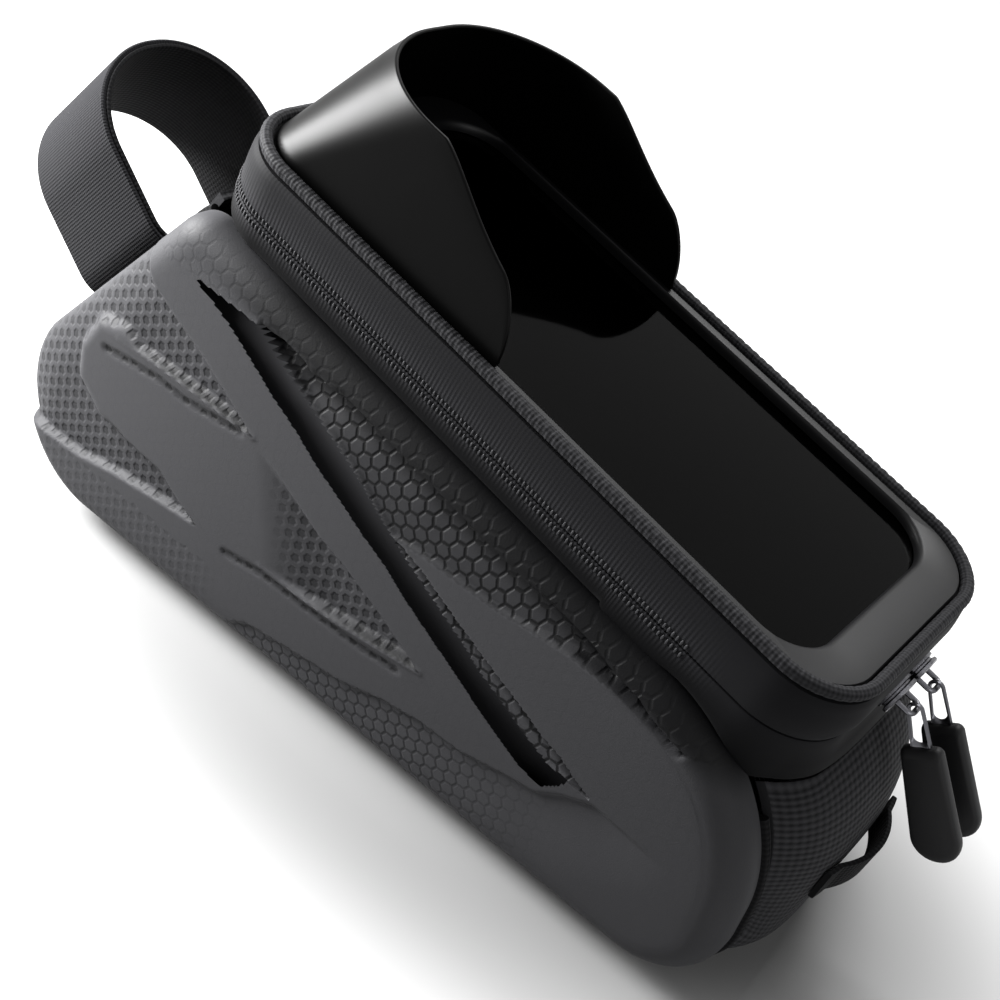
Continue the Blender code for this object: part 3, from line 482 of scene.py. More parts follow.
# Each cloth's first colour is the painted shade of its valleys and the second its own colour.
tape_cloth = woven("ribbed_zip_tape", "#060607", "#202022", 0.66, 0.0011, 0.0011, 0.00010, 0.2, "rib")
cord_cloth = woven("corded_gusset_cloth", "#141415", "#363638", 0.70, 0.0019, 0.0021, 0.00045, 0.65)
webbing = woven("polyester_webbing", "#0b0b0c", "#171718", 0.80, 0.0012, 0.0014, 0.00022, 0.5)
loop_pile = woven("loop_pile_webbing", "#121213", "#242426", 0.95, 0.0008, 0.0009, 0.00020, 0.5)
lining = woven("nylon_lining", "#0b0b0c", "#161617", 0.80, 0.0006, 0.0006, 0.00008, 0.5)
braid = woven("braided_binding", "#111112", "#2c2c2e", 0.60, 0.0010, 0.0011, 0.00012, 0.5)
print("cloths:", [cloth.name for cloth in (tape_cloth, cord_cloth, webbing, loop_pile, lining, braid)])

# %% [markdown]
# ### Smooth black plastics, rubber and metal
#
# The hood is polished PVC sheet, the window a thin clear film, the frame a satin moulding, the pulls are
# soft moulded rubber and the sliders nickel-plated zinc. None of them is perfectly even, so a faint noise
# varies the roughness where light would show it.


# %% Smooth materials
CLOUD_SCALE, SPECK_SCALE = 60.0, 2200.0


def smooth(name, code, roughness, spread=0.0, grain=0.0, **sockets):
    """Make a plain finish whose roughness wanders by a spread, with an optional fine grain in metres."""
    material, tree, shader = start_material(name, code, roughness, **sockets)
    place = add_node(tree, "ShaderNodeTexCoord").outputs["Object"]
    cloud = add_node(tree, "ShaderNodeTexNoise", sockets={"Vector": place, "Scale": CLOUD_SCALE})
    level = add_node(tree, "ShaderNodeMapRange", sockets={
        "Value": cloud.outputs[0], "To Min": roughness - spread, "To Max": roughness + spread})
    tree.links.new(level.outputs[0], shader.inputs["Roughness"])
    if grain:
        speck = add_node(tree, "ShaderNodeTexNoise", sockets={"Vector": place, "Scale": SPECK_SCALE})
        emboss(tree, shader, speck.outputs[0], grain)
    return material


frame_satin = smooth("satin_tpu_frame", "#101011", 0.42, 0.04, grain=0.00002, Specular_IOR_Level=0.15)
hood_gloss = smooth("polished_pvc_sheet", "#020202", 0.36, 0.02, IOR=1.34, Specular_IOR_Level=0.1)
film_clear = smooth("clear_tpu_film", "#1a1a1b", 0.06, 0.01, IOR=1.12, Transmission_Weight=1.0,
                    Specular_IOR_Level=0.1)
pull_rubber = smooth("moulded_rubber", "#121213", 0.55, 0.06, grain=0.00003, Specular_IOR_Level=0.15)
pad_rubber = smooth("grip_rubber", "#1a1a1b", 0.75, 0.05, grain=0.00010, Specular_IOR_Level=0.2)
nickel = smooth("nickel_plated_zinc", "#58585c", 0.28, 0.05, Metallic=1.0)
foam = smooth("black_foam_pad", "#0d0d0e", 0.95, 0.02, grain=0.00025)
thread = smooth("polyester_thread", "#2e2e30", 0.60, 0.05, Specular_IOR_Level=0.2)
print("smooth finishes:", [finish.name for finish in (frame_satin, hood_gloss, film_clear, pull_rubber, nickel)])

# %% [markdown]
# ## The sizes that everything shares
#
# These are the bag's own sizes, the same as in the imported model. The lid's plane slopes 13 degrees down to
# the rear, so a point of the lid is given by its distance along it, across it and above it.

# %% Sizes
GAP = 0.0003
SLOPE = math.radians(13.0)
LID_LENGTH, LID_WIDTH, LID_CORNER = 0.199, 0.085, 0.020
LID_MIDDLE = (0.0332, 0.1190)
ZIP_DROP, SEAM_DROP = 0.0150, 0.0230
BODY_FLOOR = 0.0043
REAR_X, REAR_BULGE = 0.1290, 0.0045
BELT_BULGE, BELT_Z = 0.0115, 0.0540
REAR_SEAM_Z, ARCH_RISE, RIM_BULGE = 0.0675, 0.0015, 0.0040
FRONT_TOP_X, FRONT_SLOPE = -0.0660, math.radians(50.5)
SIDE_RADII = [0.012, 0.032, 0.022, 0.048]
GUSSET_HALF, PIPING_RADIUS = 0.035, 0.0013
PIPING_Y = GUSSET_HALF + GAP + PIPING_RADIUS
RIM_Y = PIPING_Y + PIPING_RADIUS + GAP
FACE_Y = RIM_Y + 0.0108


def on_lid(along, across, up):
    """Return the world point of a place on the lid."""
    x = LID_MIDDLE[0] + along * math.cos(SLOPE) + up * math.sin(SLOPE)
    z = LID_MIDDLE[1] - along * math.sin(SLOPE) + up * math.cos(SLOPE)
    return np.stack(np.broadcast_arrays(x, across, z), -1)


def seam_height(x):
    """Return the height of the side shells' top line at x."""
    start = on_lid(0.0, 0.0, -SEAM_DROP - GAP)
    return start[2] - (x - start[0]) * math.tan(SLOPE)


TOP_FRONT = FRONT_TOP_X + 1j * seam_height(FRONT_TOP_X)
LOW_FRONT = FRONT_TOP_X - (TOP_FRONT.imag - BODY_FLOOR) / math.tan(FRONT_SLOPE) + 1j * BODY_FLOOR
LOW_REAR = REAR_X + 1j * BODY_FLOOR
TOP_REAR = REAR_X + 1j * seam_height(REAR_X)
SIDE_CORNERS = [TOP_FRONT, LOW_FRONT, LOW_REAR, TOP_REAR]
print("side corners in mm:", [(round(c.real * 1000, 1), round(c.imag * 1000, 1)) for c in SIDE_CORNERS])

# %% [markdown]
# ## The moulded side shells
#
# Each side is one pressed shell with a round edge and a face full of relief: a raised tongue and a raised
# slanting band, sunken triangles of honeycomb between them, a deep channel with a thin ridge, and a long
# lens behind it. The face is a grid stretched between the four sides of the outline, so the relief has
# even cells everywhere. Each field is a polygon, and the depth at a point follows from its distance to the
# polygon's edges, with a short slope where the real edge is sharp and a long one where it fades.


# %% Distances to the carved fields
def rise(value):
    """Return a smooth step from 0 to 1."""
    value = np.clip(value, 0.0, 1.0)
    return value * value * (3 - 2 * value)


def line_distance(x, z, points):
    """Return the distance to a line of straight pieces."""
    nearest = np.full(x.shape, 1e9)
    for (ax, az), (bx, bz) in zip(points[:-1], points[1:]):
        dx, dz = bx - ax, bz - az
        share = np.clip(((x - ax) * dx + (z - az) * dz) / (dx * dx + dz * dz), 0, 1)
        nearest = np.minimum(nearest, np.hypot(x - ax - share * dx, z - az - share * dz))
    return nearest


def depth_inside(x, z, corners):
    """Return the distance inside a polygon, 0 outside it."""
    inside = np.zeros(x.shape, bool)
    for (ax, az), (bx, bz) in zip(corners, corners[1:] + corners[:1]):
        crosses = (az > z) != (bz > z)
        inside ^= crosses & (x < (bx - ax) * (z - az) / (bz - az + 1e-12) + ax)
    return np.where(inside, line_distance(x, z, corners + corners[:1]), 0.0)


# %% [markdown]
# The lines of the relief are side views in millimetres, x and z, read along the edges of each field. Two
# fields share a line where they meet. The channel's three lines give one point twice in a row, where
# RIDGE_LOW meets RIDGE, and the distance to a line can't be worked out between two equal points: this is a
# known fault, which leaves the points inside the channel without a position.

# %% Lines of the relief
SHELL_ROUND = 0.0085
BAND_EDGE = [(-73.9, 94.3), (-63.4, 88.9), (-53.2, 84.5), (-42.7, 78.6), (-30.6, 71.9)]
BAND_LOW = [(-30.6, 71.9), (-16, 65), (-3.8, 58.8), (5.7, 55.8), (19.2, 50.2), (35, 42.2)]
TONGUE_TOP = [(-30.6, 71.9), (-45.1, 72.2), (-58.5, 72.2), (-70.3, 72.1), (-83.1, 71.6)]
TONGUE_TIP = [(-83.1, 71.6), (-90.5, 69.5), (-95.4, 60.7), (-95.3, 52.6), (-87.1, 46.4)]
TONGUE_LOW = [(-87.1, 46.4), (-76, 43.1), (-61.3, 41.7), (-52.2, 36.3), (-44.3, 33)]
SKIRT_LINE = [(-44.3, 33), (-63.6, 30.7), (-80.3, 28.2), (-95.4, 24.8), (-111.3, 23.7)]
FRONT_LIMIT = [(-150, 20), (-150, 60), (-110, 104), (-80, 104)]
FALL_LOW = [(35, 42.2), (20.3, 39.8), (5, 37.7), (-7.6, 36.9), (-20.1, 37.2)]
GROOVE = [(-59.6, 103.1), (-51.8, 100.5), (-43.8, 96.9), (-35.7, 92.3), (-26.3, 86.7), (-17.2, 82.2), (-9.1, 77.3),
          (0.3, 72.7), (9.3, 68), (17.7, 64.4), (26.1, 59.3), (36.5, 54.1), (44.2, 50.2), (53, 45.6), (61.3, 41.5),
          (68.7, 38.2), (75.3, 37.1), (79.8, 41.6)]
RIDGE = [(-36.7, 101.8), (-33.8, 99.8), (-26.7, 96.1), (-17, 91.2), (-7.4, 86.9), (2.3, 81.8), (10.4, 76.5),
         (17, 72.8)]
RIDGE_LOW = [(17, 72.8), (20.3, 70.4), (27.8, 67), (35.4, 63.1), (43, 59.2), (50.7, 54.8), (56.9, 52.2),
             (63.6, 48.7), (70, 46.3), (75.3, 44.1), (81.3, 44.3)]
PANEL_EDGE = [(20, 72.4), (27, 70.1), (34.6, 66.5), (42.2, 63), (49.3, 60), (56.3, 57), (63.3, 54.2), (70.7, 50.8),
              (77.4, 48.7), (82.9, 45.7), (88.8, 43.2)]
PANEL_TOP = [(19.8, 72.6), (29.1, 73.6), (40.3, 73.4), (51, 73.6), (59.5, 74.5), (70.8, 75.2), (82.5, 74.4),
             (91.5, 72.4), (98.9, 70.4), (104.2, 68.7)]
STRIP_EDGE = [(-34.5, 103.1), (-24.5, 101.7), (-17.1, 99.3), (-5.4, 98.3), (4.6, 96.4), (13.4, 94.2), (23.4, 92.2),
              (30.4, 90.1), (40.1, 88.1), (46.6, 86.7), (56.1, 84.9), (68.1, 82.6), (74.7, 80.8), (82.7, 78.4),
              (90.6, 75.8), (97, 73.4), (103.2, 71)]
LOW_STEP = [(-22, 15.3), (-1.5, 19.1), (12.8, 21.4), (25.9, 25.9), (39, 28.6), (52.3, 29.2), (64.2, 32.5),
            (74.5, 34.6), (80.7, 39.2), (88.8, 43.2)]
TONGUE_DASHES = [(-87.7, 65.8), (-77.6, 67.2), (-65.7, 68.5), (-55.9, 68.1), (-44.6, 69.4), (-35.5, 70.7)]
FALL_DASHES = [(-33.4, 32.2), (-19.6, 34.6), (-3.6, 35.0), (14.4, 35.9), (28.1, 37.6)]
FALL_START = [(-30.6, 71.9), (-20.1, 37.2)]
BELOW_STEP = [(125, 40), (125, -10), (-60, -10)]
WIDE_ROUND, WIDE_SUNK = 15.0, 2.6
print("relief lines:", sum(len(line) for line in (BAND_EDGE, BAND_LOW, GROOVE, RIDGE, STRIP_EDGE)), "points")


# %% Relief of the face
def stroke(x, z, line, half):
    """Return 1 on a line, falling softly to 0 at half its width."""
    return 1 - rise(line_distance(x, z, line) / half)


def round_off(rim):
    """Return how deep the sunken ground lies, in mm: a wider, flatter round than the plain edge of the board."""
    edge = SHELL_ROUND * 1000
    plain = edge - np.sqrt(np.maximum(edge ** 2 - np.clip(edge - rim, 0, edge) ** 2, 0))
    along = 1 - np.clip((WIDE_ROUND - rim) / WIDE_ROUND, 0, 1) ** 2
    broad = edge - (edge - WIDE_SUNK) * np.sqrt(np.maximum(along, 0))
    return np.maximum(broad - plain, 0.0)


def insides(x, z):
    """Return how far each point lies inside each field of the relief, in mm, by the field's name."""
    fields = {
        "ground": BAND_EDGE + TONGUE_TOP[1:] + TONGUE_TIP[1:] + TONGUE_LOW[1:] + SKIRT_LINE[1:] + FRONT_LIMIT,
        "fall": BAND_LOW + FALL_LOW[1:],
        "channel": GROOVE + RIDGE_LOW[::-1] + RIDGE[::-1],
        "slope": RIDGE_LOW + PANEL_EDGE[::-1],
        "lens": RIDGE + PANEL_TOP[1:] + STRIP_EDGE[::-1],
        "low": LOW_STEP + BELOW_STEP}
    return {name: depth_inside(x, z, corners) for name, corners in fields.items()}


def carve(x, z, rim, at):
    """Return the depth in mm of the whole relief, of the ground and of the fall, and the share of dashes."""
    soft = 1.5 + 7.0 * stroke(x, z, TONGUE_TIP, 9.0)
    ground = rise(at["ground"] / soft) * round_off(rim)
    fall = 3.0 * rise(at["fall"] / 1.6) * rise(line_distance(x, z, FALL_START) / 26)
    channel = rise(at["channel"] / 1.2) * (0.5 + 3.9 * (1 - rise((line_distance(x, z, GROOVE) - 2.2) / 4.5)))
    slope = 0.4 * rise(at["slope"] / 1.0) + 1.3 * (at["slope"] > 0) * stroke(x, z, PANEL_EDGE, 2.2)
    lens = rise(at["lens"] / 1.3) * (1.0 + 3.2 * (1 - rise((line_distance(x, z, STRIP_EDGE) - 1.8) / 9)))
    low = 1.0 * rise(at["low"] / 1.6) * (1 - rise(line_distance(x, z, LOW_STEP) / 24))
    dashes = np.maximum(stroke(x, z, TONGUE_DASHES, 2.0), stroke(x, z, FALL_DASHES, 2.0))
    crest = np.maximum(stroke(x, z, TONGUE_TOP, 1.5), stroke(x, z, FALL_LOW, 1.5))
    crest = crest * (at["ground"] + at["fall"] <= 0)
    crest = np.maximum(crest, 0.8 * stroke(x, z, RIDGE, 1.3) * (at["channel"] + at["lens"] <= 0))
    cut = np.maximum.reduce([fall, channel, slope, lens, low]) + 0.55 * dashes - 0.30 * crest
    return ground + cut * rise((rim - 1.0) / 8), ground, fall, dashes


# %% Cells and painted crease shade of the face
def cell_strength(x, z, at, ground, fall, dashes):
    """Return how strongly the honeycomb shows: above zero as domes, below zero as pits."""
    above = z > np.interp(x, [p[0] for p in STRIP_EDGE], [p[1] for p in STRIP_EDGE]) + 0.3
    comb = 0.03 + np.zeros(x.shape)
    comb = np.where(at["ground"] > 0, -rise(ground / 1.3), comb)
    comb = np.where(at["fall"] > 0, -rise(fall / 2.0), comb)
    comb = np.where((z < 24) & (x < -30), -0.35 * rise((-30 - x) / 20), comb)
    comb = np.where(at["slope"] > 0, 0.9, comb)
    comb = np.where(at["lens"] > 0, 0.7 * rise(at["lens"] / 1.2), comb)
    comb = np.where(at["channel"] > 0, 0.0, comb)
    comb = np.where(at["low"] > 0, 0.55 * (1 - rise((x - 30) / 60)), comb)
    comb = np.where(above & (at["lens"] <= 0) & (at["channel"] <= 0), 0.15 + 0.55 * rise((x + 40) / 110), comb)
    return np.where(dashes > 0.3, -0.8 * dashes, comb)


def creases(x, z, at, dashes):
    """Return the painted shade of the face: black at the foot of the fields' edges, fading away from them."""
    cut, foot = line_distance(x, z, GROOVE), line_distance(x, z, STRIP_EDGE)
    ground, fall = at["ground"] > 0, at["fall"] > 0
    return np.maximum.reduce([
        (at["channel"] > 0) * (1 - rise((cut - 2.4) / 3.0)),
        (at["lens"] > 0) * (0.45 + 0.55 * (1 - rise((foot - 2.5) / 4.5))) * rise((104 - x) / 30),
        (at["slope"] > 0) * stroke(x, z, PANEL_EDGE, 2.0) * 0.9,
        ground * stroke(x, z, TONGUE_TOP, 2.0) * rise((x + 88) / 30),
        ground * stroke(x, z, TONGUE_LOW, 2.2) * rise((x + 92) / 35),
        ground * stroke(x, z, BAND_EDGE, 1.6) * 0.5,
        fall * stroke(x, z, FALL_LOW, 2.2) * rise((x + 10) / 30),
        fall * stroke(x, z, BAND_LOW, 1.6) * 0.5 * rise((x + 5) / 20),
        0.6 * dashes])


def relief(x, z, rim):
    """Return depth in mm, cell strength and the painted shade of the face's creases; rim is the way to the outline.
    """
    at = insides(x, z)
    depth, ground, fall, dashes = carve(x, z, rim, at)
    comb = cell_strength(x, z, at, ground, fall, dashes)
    return depth, comb * rise((rim + 1) / 6), creases(x, z, at, dashes)


# %% [markdown]
# The outline is sampled in four runs that meet in the middle of its round corners. The edge of the shell is
# a quarter round from the rim to the face, and behind it a plain inner skin closes the board.

# %% Build a side shell
ALONG_CELLS, UP_CELLS = 330, 150


def side_ring(distance):
    """Return the side outline, moved inwards, as four even runs from the middle of its top front corner."""
    radii = [max(radius - distance, 0.0008) for radius in SIDE_RADII]
    dense = rounded(inset(SIDE_CORNERS, distance), radii, 40)
    closed = np.concatenate([dense[20:], dense[:21]])
    marks = [0, 41, 82, 123, 164]
    runs = []
    for start, end, count in zip(marks[:-1], marks[1:], (UP_CELLS, ALONG_CELLS, UP_CELLS, ALONG_CELLS)):
        runs.append(evenly(closed[start:end + 1], count + 1)[:-1])
    return np.concatenate(runs)


def face_grid(ring):
    """Stretch a grid between the four runs of a ring."""
    up, along = UP_CELLS, ALONG_CELLS
    closed = np.append(ring, ring[0])
    front, bottom = closed[:up + 1][::-1], closed[up:up + along + 1]
    rear, top = closed[up + along:2 * up + along + 1], closed[2 * up + along:][::-1]
    u = np.linspace(0, 1, along + 1)[:, None]
    v = np.linspace(0, 1, up + 1)[None, :]
    corners = (1 - u) * (1 - v) * bottom[0] + u * (1 - v) * bottom[-1] + (1 - u) * v * top[0] + u * v * top[-1]
    return ((1 - v) * bottom[:, None] + v * top[:, None] + (1 - u) * front[None, :] + u * rear[None, :] - corners)


def shell_front():
    """Return rings from the rim to the face, the grid of the face, and y for the points of both."""
    levels = [(0.0, RIM_Y), (0.0, RIM_Y + RIM_STRAIGHT)]
    for step in range(EDGE_TURNS + 1):
        angle = math.pi / 2 * step / EDGE_TURNS
        levels.append((SHELL_ROUND * (1 - math.cos(angle)), FACE_Y - SHELL_ROUND + SHELL_ROUND * math.sin(angle)))
    rings = [side_ring(distance) for distance, _ in levels]
    grid = face_grid(rings[-1])
    u = np.linspace(0, 1, ALONG_CELLS + 1)[1:-1, None]
    v = np.linspace(0, 1, UP_CELLS + 1)[None, 1:-1]
    crown = CROWN * (16 * u * (1 - u) * v * (1 - v)) ** CROWN_POWER
    y = [np.full(len(rings[0]), level) for _, level in levels] + [(FACE_Y + crown).ravel()]
    return rings, grid, np.concatenate(y)


def face_numbers(count, first_inner, last_ring):
    """Return the grid of point numbers of the face, whose border is the last ring."""
    up, along = UP_CELLS, ALONG_CELLS
    ids = np.zeros((along + 1, up + 1), int)
    ids[1:-1, 1:-1] = first_inner + np.arange((along - 1) * (up - 1)).reshape(along - 1, up - 1)
    ids[0, :] = last_ring + (up - np.arange(up + 1))
    ids[:, 0] = last_ring + up + np.arange(along + 1)
    ids[-1, :] = last_ring + up + along + np.arange(up + 1)
    ids[:, -1] = last_ring + (2 * up + along + (along - np.arange(along + 1))) % count
    return ids


def shell_faces(ring_count, count, back_start):
    """Return the quads of the front rings, the face, the rim and the back skin, and the cap that closes it."""
    index = np.arange(count)
    after = (index + 1) % count
    steps = [(lower * count, (lower + 1) * count) for lower in range(ring_count - 1)]
    faces = [np.stack([a + index, a + after, b + after, b + index], 1) for a, b in steps]
    ids = face_numbers(count, ring_count * count, (ring_count - 1) * count)
    faces.append(np.stack([ids[:-1, :-1], ids[:-1, 1:], ids[1:, 1:], ids[1:, :-1]], -1).reshape(-1, 4))
    faces.append(np.stack([index, back_start + index, back_start + after, after], 1))
    steps = [(back_start + lower * count, back_start + (lower + 1) * count) for lower in range(len(BACK_SKIN) - 1)]
    faces += [np.stack([a + index, b + index, b + after, a + after], 1) for a, b in steps]
    cap = back_start + (len(BACK_SKIN) - 1) * count + index
    return np.concatenate(faces).tolist() + [cap.tolist()]


# %% Build the side shells
RIM_STRAIGHT, EDGE_TURNS = 0.0012, 12
CROWN, CROWN_POWER = 0.0010, 0.6
BACK_SKIN = [(RIM_Y, 0.0035), (FACE_Y - 0.0100, 0.0040), (FACE_Y - 0.0055, 0.0090)]
SIDES = (("left", -1), ("right", 1))


def make_side_shell(name, side):
    """Build one moulded shell with its relief."""
    rings, grid, level = shell_front()
    flat = np.concatenate([np.concatenate(rings), grid[1:-1, 1:-1].ravel()])
    outline = [(p.real * 1000, p.imag * 1000) for p in side_ring(0.0)[::5]]
    x, z = flat.real * 1000, flat.imag * 1000
    depth, comb, crease_shade = relief(x, z, depth_inside(x, z, outline))
    y = np.maximum(level - depth / 1000, RIM_Y)
    back = np.concatenate([side_ring(distance) for _, distance in BACK_SKIN])
    back_y = np.repeat([height for height, _ in BACK_SKIN], len(rings[0]))
    points = np.stack([np.concatenate([flat.real, back.real]), side * np.concatenate([y, back_y]),
                       np.concatenate([flat.imag, back.imag])], 1)
    mesh = bpy.data.meshes.new(name)
    mesh.from_pydata(points.tolist(), [], shell_faces(len(rings), len(rings[0]), len(flat)))
    # Painted shade: the board's top edge below the seam goes nearly black, from the front corner back, and the
    # shade of the creases joins it.
    below = seam_height(points[:, 0]) * 1000 - points[:, 2] * 1000
    painted_shade = (1 - rise((below - 5.0) / 6.0)) * rise((points[:, 0] * 1000 + 66) / 40)
    plain = np.zeros(len(back))
    paint_points(mesh, {"comb": np.concatenate([comb, plain]),
                        "painted_shade": np.maximum(painted_shade, np.concatenate([crease_shade, plain]))})
    builder = bmesh.new()
    builder.from_mesh(mesh)
    bmesh.ops.recalc_face_normals(builder, faces=builder.faces)
    builder.to_mesh(mesh)
    builder.free()
    return mesh


for label, side in SIDES:
    shell = make_side_shell("moulded_side_" + label, side)
    dress("moulded_side_" + label, shell, foam_board, "body", ["side_shell_" + label], sharp=60)

# %% [markdown]
# ## The gusset
#
# Between the shells runs one strip of corded cloth: down the front, under the bag and up the rear, where it
# ends in an arch below the smooth panel. It is sewn to both shells and swells a little between them. The
# strip is a loft across the bag, and its UV map runs along the strip, so the cords cross it.


# %% Paths of the gusset
FRONT_DOWN, KNEE_DROP = (LOW_FRONT - TOP_FRONT) / abs(LOW_FRONT - TOP_FRONT), 0.0168


def fullness(y):
    """Return how full the gusset stands at y: none at its seams, all in its middle."""
    return 1 - min(abs(y) / GUSSET_HALF, 1.0) ** 3


def arch_height(y):
    """Return the height of the seam across the rear of the gusset at y."""
    return REAR_SEAM_Z + ARCH_RISE * fullness(y)


def rim_rear(y, height):
    """Return the rim's rear outer face at this y and height as x and z in one complex number."""
    over = max(abs(y) - (LID_WIDTH / 2 - LID_CORNER), 0.0)
    along = LID_LENGTH / 2 - LID_CORNER + math.sqrt(LID_CORNER ** 2 - over ** 2) - GAP
    along += RIM_BULGE * fullness(y)
    drop = (LID_MIDDLE[1] - along * math.sin(SLOPE) - height) / math.cos(SLOPE)
    spot = on_lid(along, 0.0, -drop)
    return spot[0] + 1j * spot[2]


def gusset_rear(y, height):
    """Return the x of the gusset's rear face at y, between the base's round and the belt."""
    share = (height - BODY_FLOOR) / (BELT_Z - BODY_FLOOR)
    return REAR_X + (REAR_BULGE + (BELT_BULGE - REAR_BULGE) * share) * fullness(y)


def gusset_path(y):
    """Return the gusset's side path at y, front to rear, as complex x and z."""
    spot = on_lid(-LID_LENGTH / 2 + GAP, 0.0, -SEAM_DROP - GAP)
    knee = TOP_FRONT + FRONT_DOWN * KNEE_DROP
    heel = gusset_rear(y, BODY_FLOOR) + 1j * BODY_FLOOR
    belt = gusset_rear(y, BELT_Z) + 1j * BELT_Z
    corners = [spot[0] + 1j * spot[2], knee, LOW_FRONT, heel, belt, rim_rear(y, arch_height(y) - 2 * GAP)]
    rear_round = 0.022 + (0.012 - 0.022) * fullness(y)
    return rounded(corners, [0.0, 0.0072, 0.032, rear_round, 0.040, 0.0], 16, closed=False)


def offset(path, distance):
    """Move an open complex path to its left."""
    heading = np.gradient(path)
    return path + 1j * heading / np.abs(heading) * distance


# %% Build the gusset
GUSSET_THICK, GUSSET_RINGS = 0.0024, 41

rings = []
for y in np.linspace(-GUSSET_HALF, GUSSET_HALF, GUSSET_RINGS):
    outer = gusset_path(y)
    section = np.concatenate([outer, offset(outer, GUSSET_THICK)[::-1]])
    rings.append(np.stack([section.real, np.full(len(section), y), section.imag], 1))
dress("corded_gusset", skin("corded_gusset", rings), cord_cloth, "body", ["gusset_band"])

# %% [markdown]
# ## Piping
#
# A thin cord in a strip of cloth hides the seam between each shell and the gusset. It is a tube along the
# shell's outline.


# %% Tubes along a path
def tube(name, path, radius, sides=12, looped=False, wobble=None):
    """Return a tube along 3D points; wobble gives radii by travelled length and angle."""
    path = np.asarray(path, float)
    ahead = np.roll(path, -1, axis=0) - path if looped else np.gradient(path, axis=0)
    behind = path - np.roll(path, 1, axis=0) if looped else ahead
    heading = ahead + behind
    heading /= np.linalg.norm(heading, axis=1)[:, None]
    normal = np.cross(heading[0], (0.0, 0.0, 1.0))
    if np.linalg.norm(normal) < 0.1:
        normal = np.cross(heading[0], (0.0, 1.0, 0.0))
    travelled = np.concatenate([[0.0], np.cumsum(np.linalg.norm(np.diff(path, axis=0), axis=1))])
    rings = []
    angles = np.linspace(0, 2 * math.pi, sides, endpoint=False)
    for index, spot in enumerate(path):
        normal = normal - heading[index] * np.dot(normal, heading[index])
        normal /= np.linalg.norm(normal)
        side = np.cross(heading[index], normal)
        radii = radius if wobble is None else wobble(travelled[index], angles)
        rings.append(spot + (np.cos(angles) * radii)[:, None] * normal
                     + (np.sin(angles) * radii)[:, None] * side)
    return skin(name, rings, looped)


ROUND_STEPS, PIPING_POINTS = 30, 260

outline = rounded(SIDE_CORNERS, SIDE_RADII, ROUND_STEPS)
run = outline[21:3 * (ROUND_STEPS + 1) + 13]
for label, side in SIDES:
    path = np.stack([run.real, np.full(len(run), side * PIPING_Y), run.imag], 1)
    piping = tube("seam_piping_" + label, evenly(path, PIPING_POINTS), PIPING_RADIUS)
    dress("seam_piping_" + label, piping, webbing, "body", ["piping_" + label])

# %% [markdown]
# ## The band round the lid's plan
#
# The panel below the zip and the wall above it both follow the lid's plan, a long rectangle with round
# corners. One function sweeps a section round that plan. The section may change on the way, because the
# zip tape is ribbed along the sides and disappears under smooth cloth round the rear corners.


# %% Sweep a section round the lid
CORNER_STEPS, STRAIGHT_STEPS = 22, 60


def plan_ring(distance):
    """Return the lid's plan, moved inwards, as complex points from the front left corner round the rear."""
    half = complex(LID_LENGTH / 2 - distance, LID_WIDTH / 2 - distance)
    corners = [-half, half.conjugate(), half, -half.conjugate()]
    arcs = rounded(corners, [LID_CORNER - distance] * 4, CORNER_STEPS)
    points = []
    for index, point in enumerate(arcs):
        points.append(point)
        if (index + 1) % (CORNER_STEPS + 1) == 0:
            after = arcs[(index + 1) % len(arcs)]
            points += [point + (after - point) * share / STRAIGHT_STEPS for share in range(1, STRAIGHT_STEPS)]
    return np.array(points)


GUIDE = plan_ring(0.0)
RINGS = {}


def band(name, section_at, ribs=None, painted_light_share=None):
    """Loft a closed band of (inset, height) points; the shares of ribs and of painted light, where 0 paints black
    shade, are given for each point of the section.
    """
    rings, values = [], []
    for index, point in enumerate(GUIDE):
        ring = []
        for distance, up in section_at(point):
            key = round(distance, 6)
            if key not in RINGS:
                RINGS[key] = plan_ring(key)
            spot = RINGS[key][index]
            ring.append(on_lid(spot.real, spot.imag, up))
        rings.append(ring)
        values.append([rib_strength(point) * share for share in ribs] if ribs else [0.0] * len(ring))
    fields = {"rib": values, "painted_light_share": [painted_light_share] * len(rings)} if ribs else None
    return skin(name, rings, looped=True, fields=fields)


def rib_strength(point):
    """Return how clearly the tape's ribs show: fully along the sides and front, not round the rear."""
    return float(1 - rise((point.real - 0.058) / 0.020))


def rear_share(point):
    """Return 0 along the sides and 1 round the rear."""
    return float(rise((point.real - 0.062) / 0.024))


# %% The rim under the zip
def rim_bulge(point):
    """Return how far the rim's lower edge stands out at a point of the lid's plan."""
    return RIM_BULGE * fullness(point.imag) if point.real > 0 else 0.0


SHELL_TOP = sorted((spot.real, spot.imag) for spot in rounded(SIDE_CORNERS, SIDE_RADII, 60)
                   if spot.real > 0.05 and spot.imag > 0.06)


def rim_low(point):
    """Return the height of the rim's lower edge: along the shells' top, then the arch across the rear."""
    if point.real < LID_CORNER - LID_LENGTH / 2:
        return -SEAM_DROP
    if point.real < 0.045:
        return -SEAM_DROP + 0.0002
    along = point.real + rim_bulge(point)
    arch = (arch_height(point.imag) - LID_MIDDLE[1] + along * math.sin(SLOPE)) / math.cos(SLOPE)
    if abs(point.imag) < RIM_Y - GAP:
        return arch
    x = LID_MIDDLE[0] + point.real * math.cos(SLOPE) - SEAM_DROP * math.sin(SLOPE)
    z = np.interp(x, [p[0] for p in SHELL_TOP], [p[1] for p in SHELL_TOP]) + 2 * GAP
    edge = (z - LID_MIDDLE[1] + point.real * math.sin(SLOPE)) / math.cos(SLOPE)
    return min(max(arch, edge), -SEAM_DROP + 0.0002)


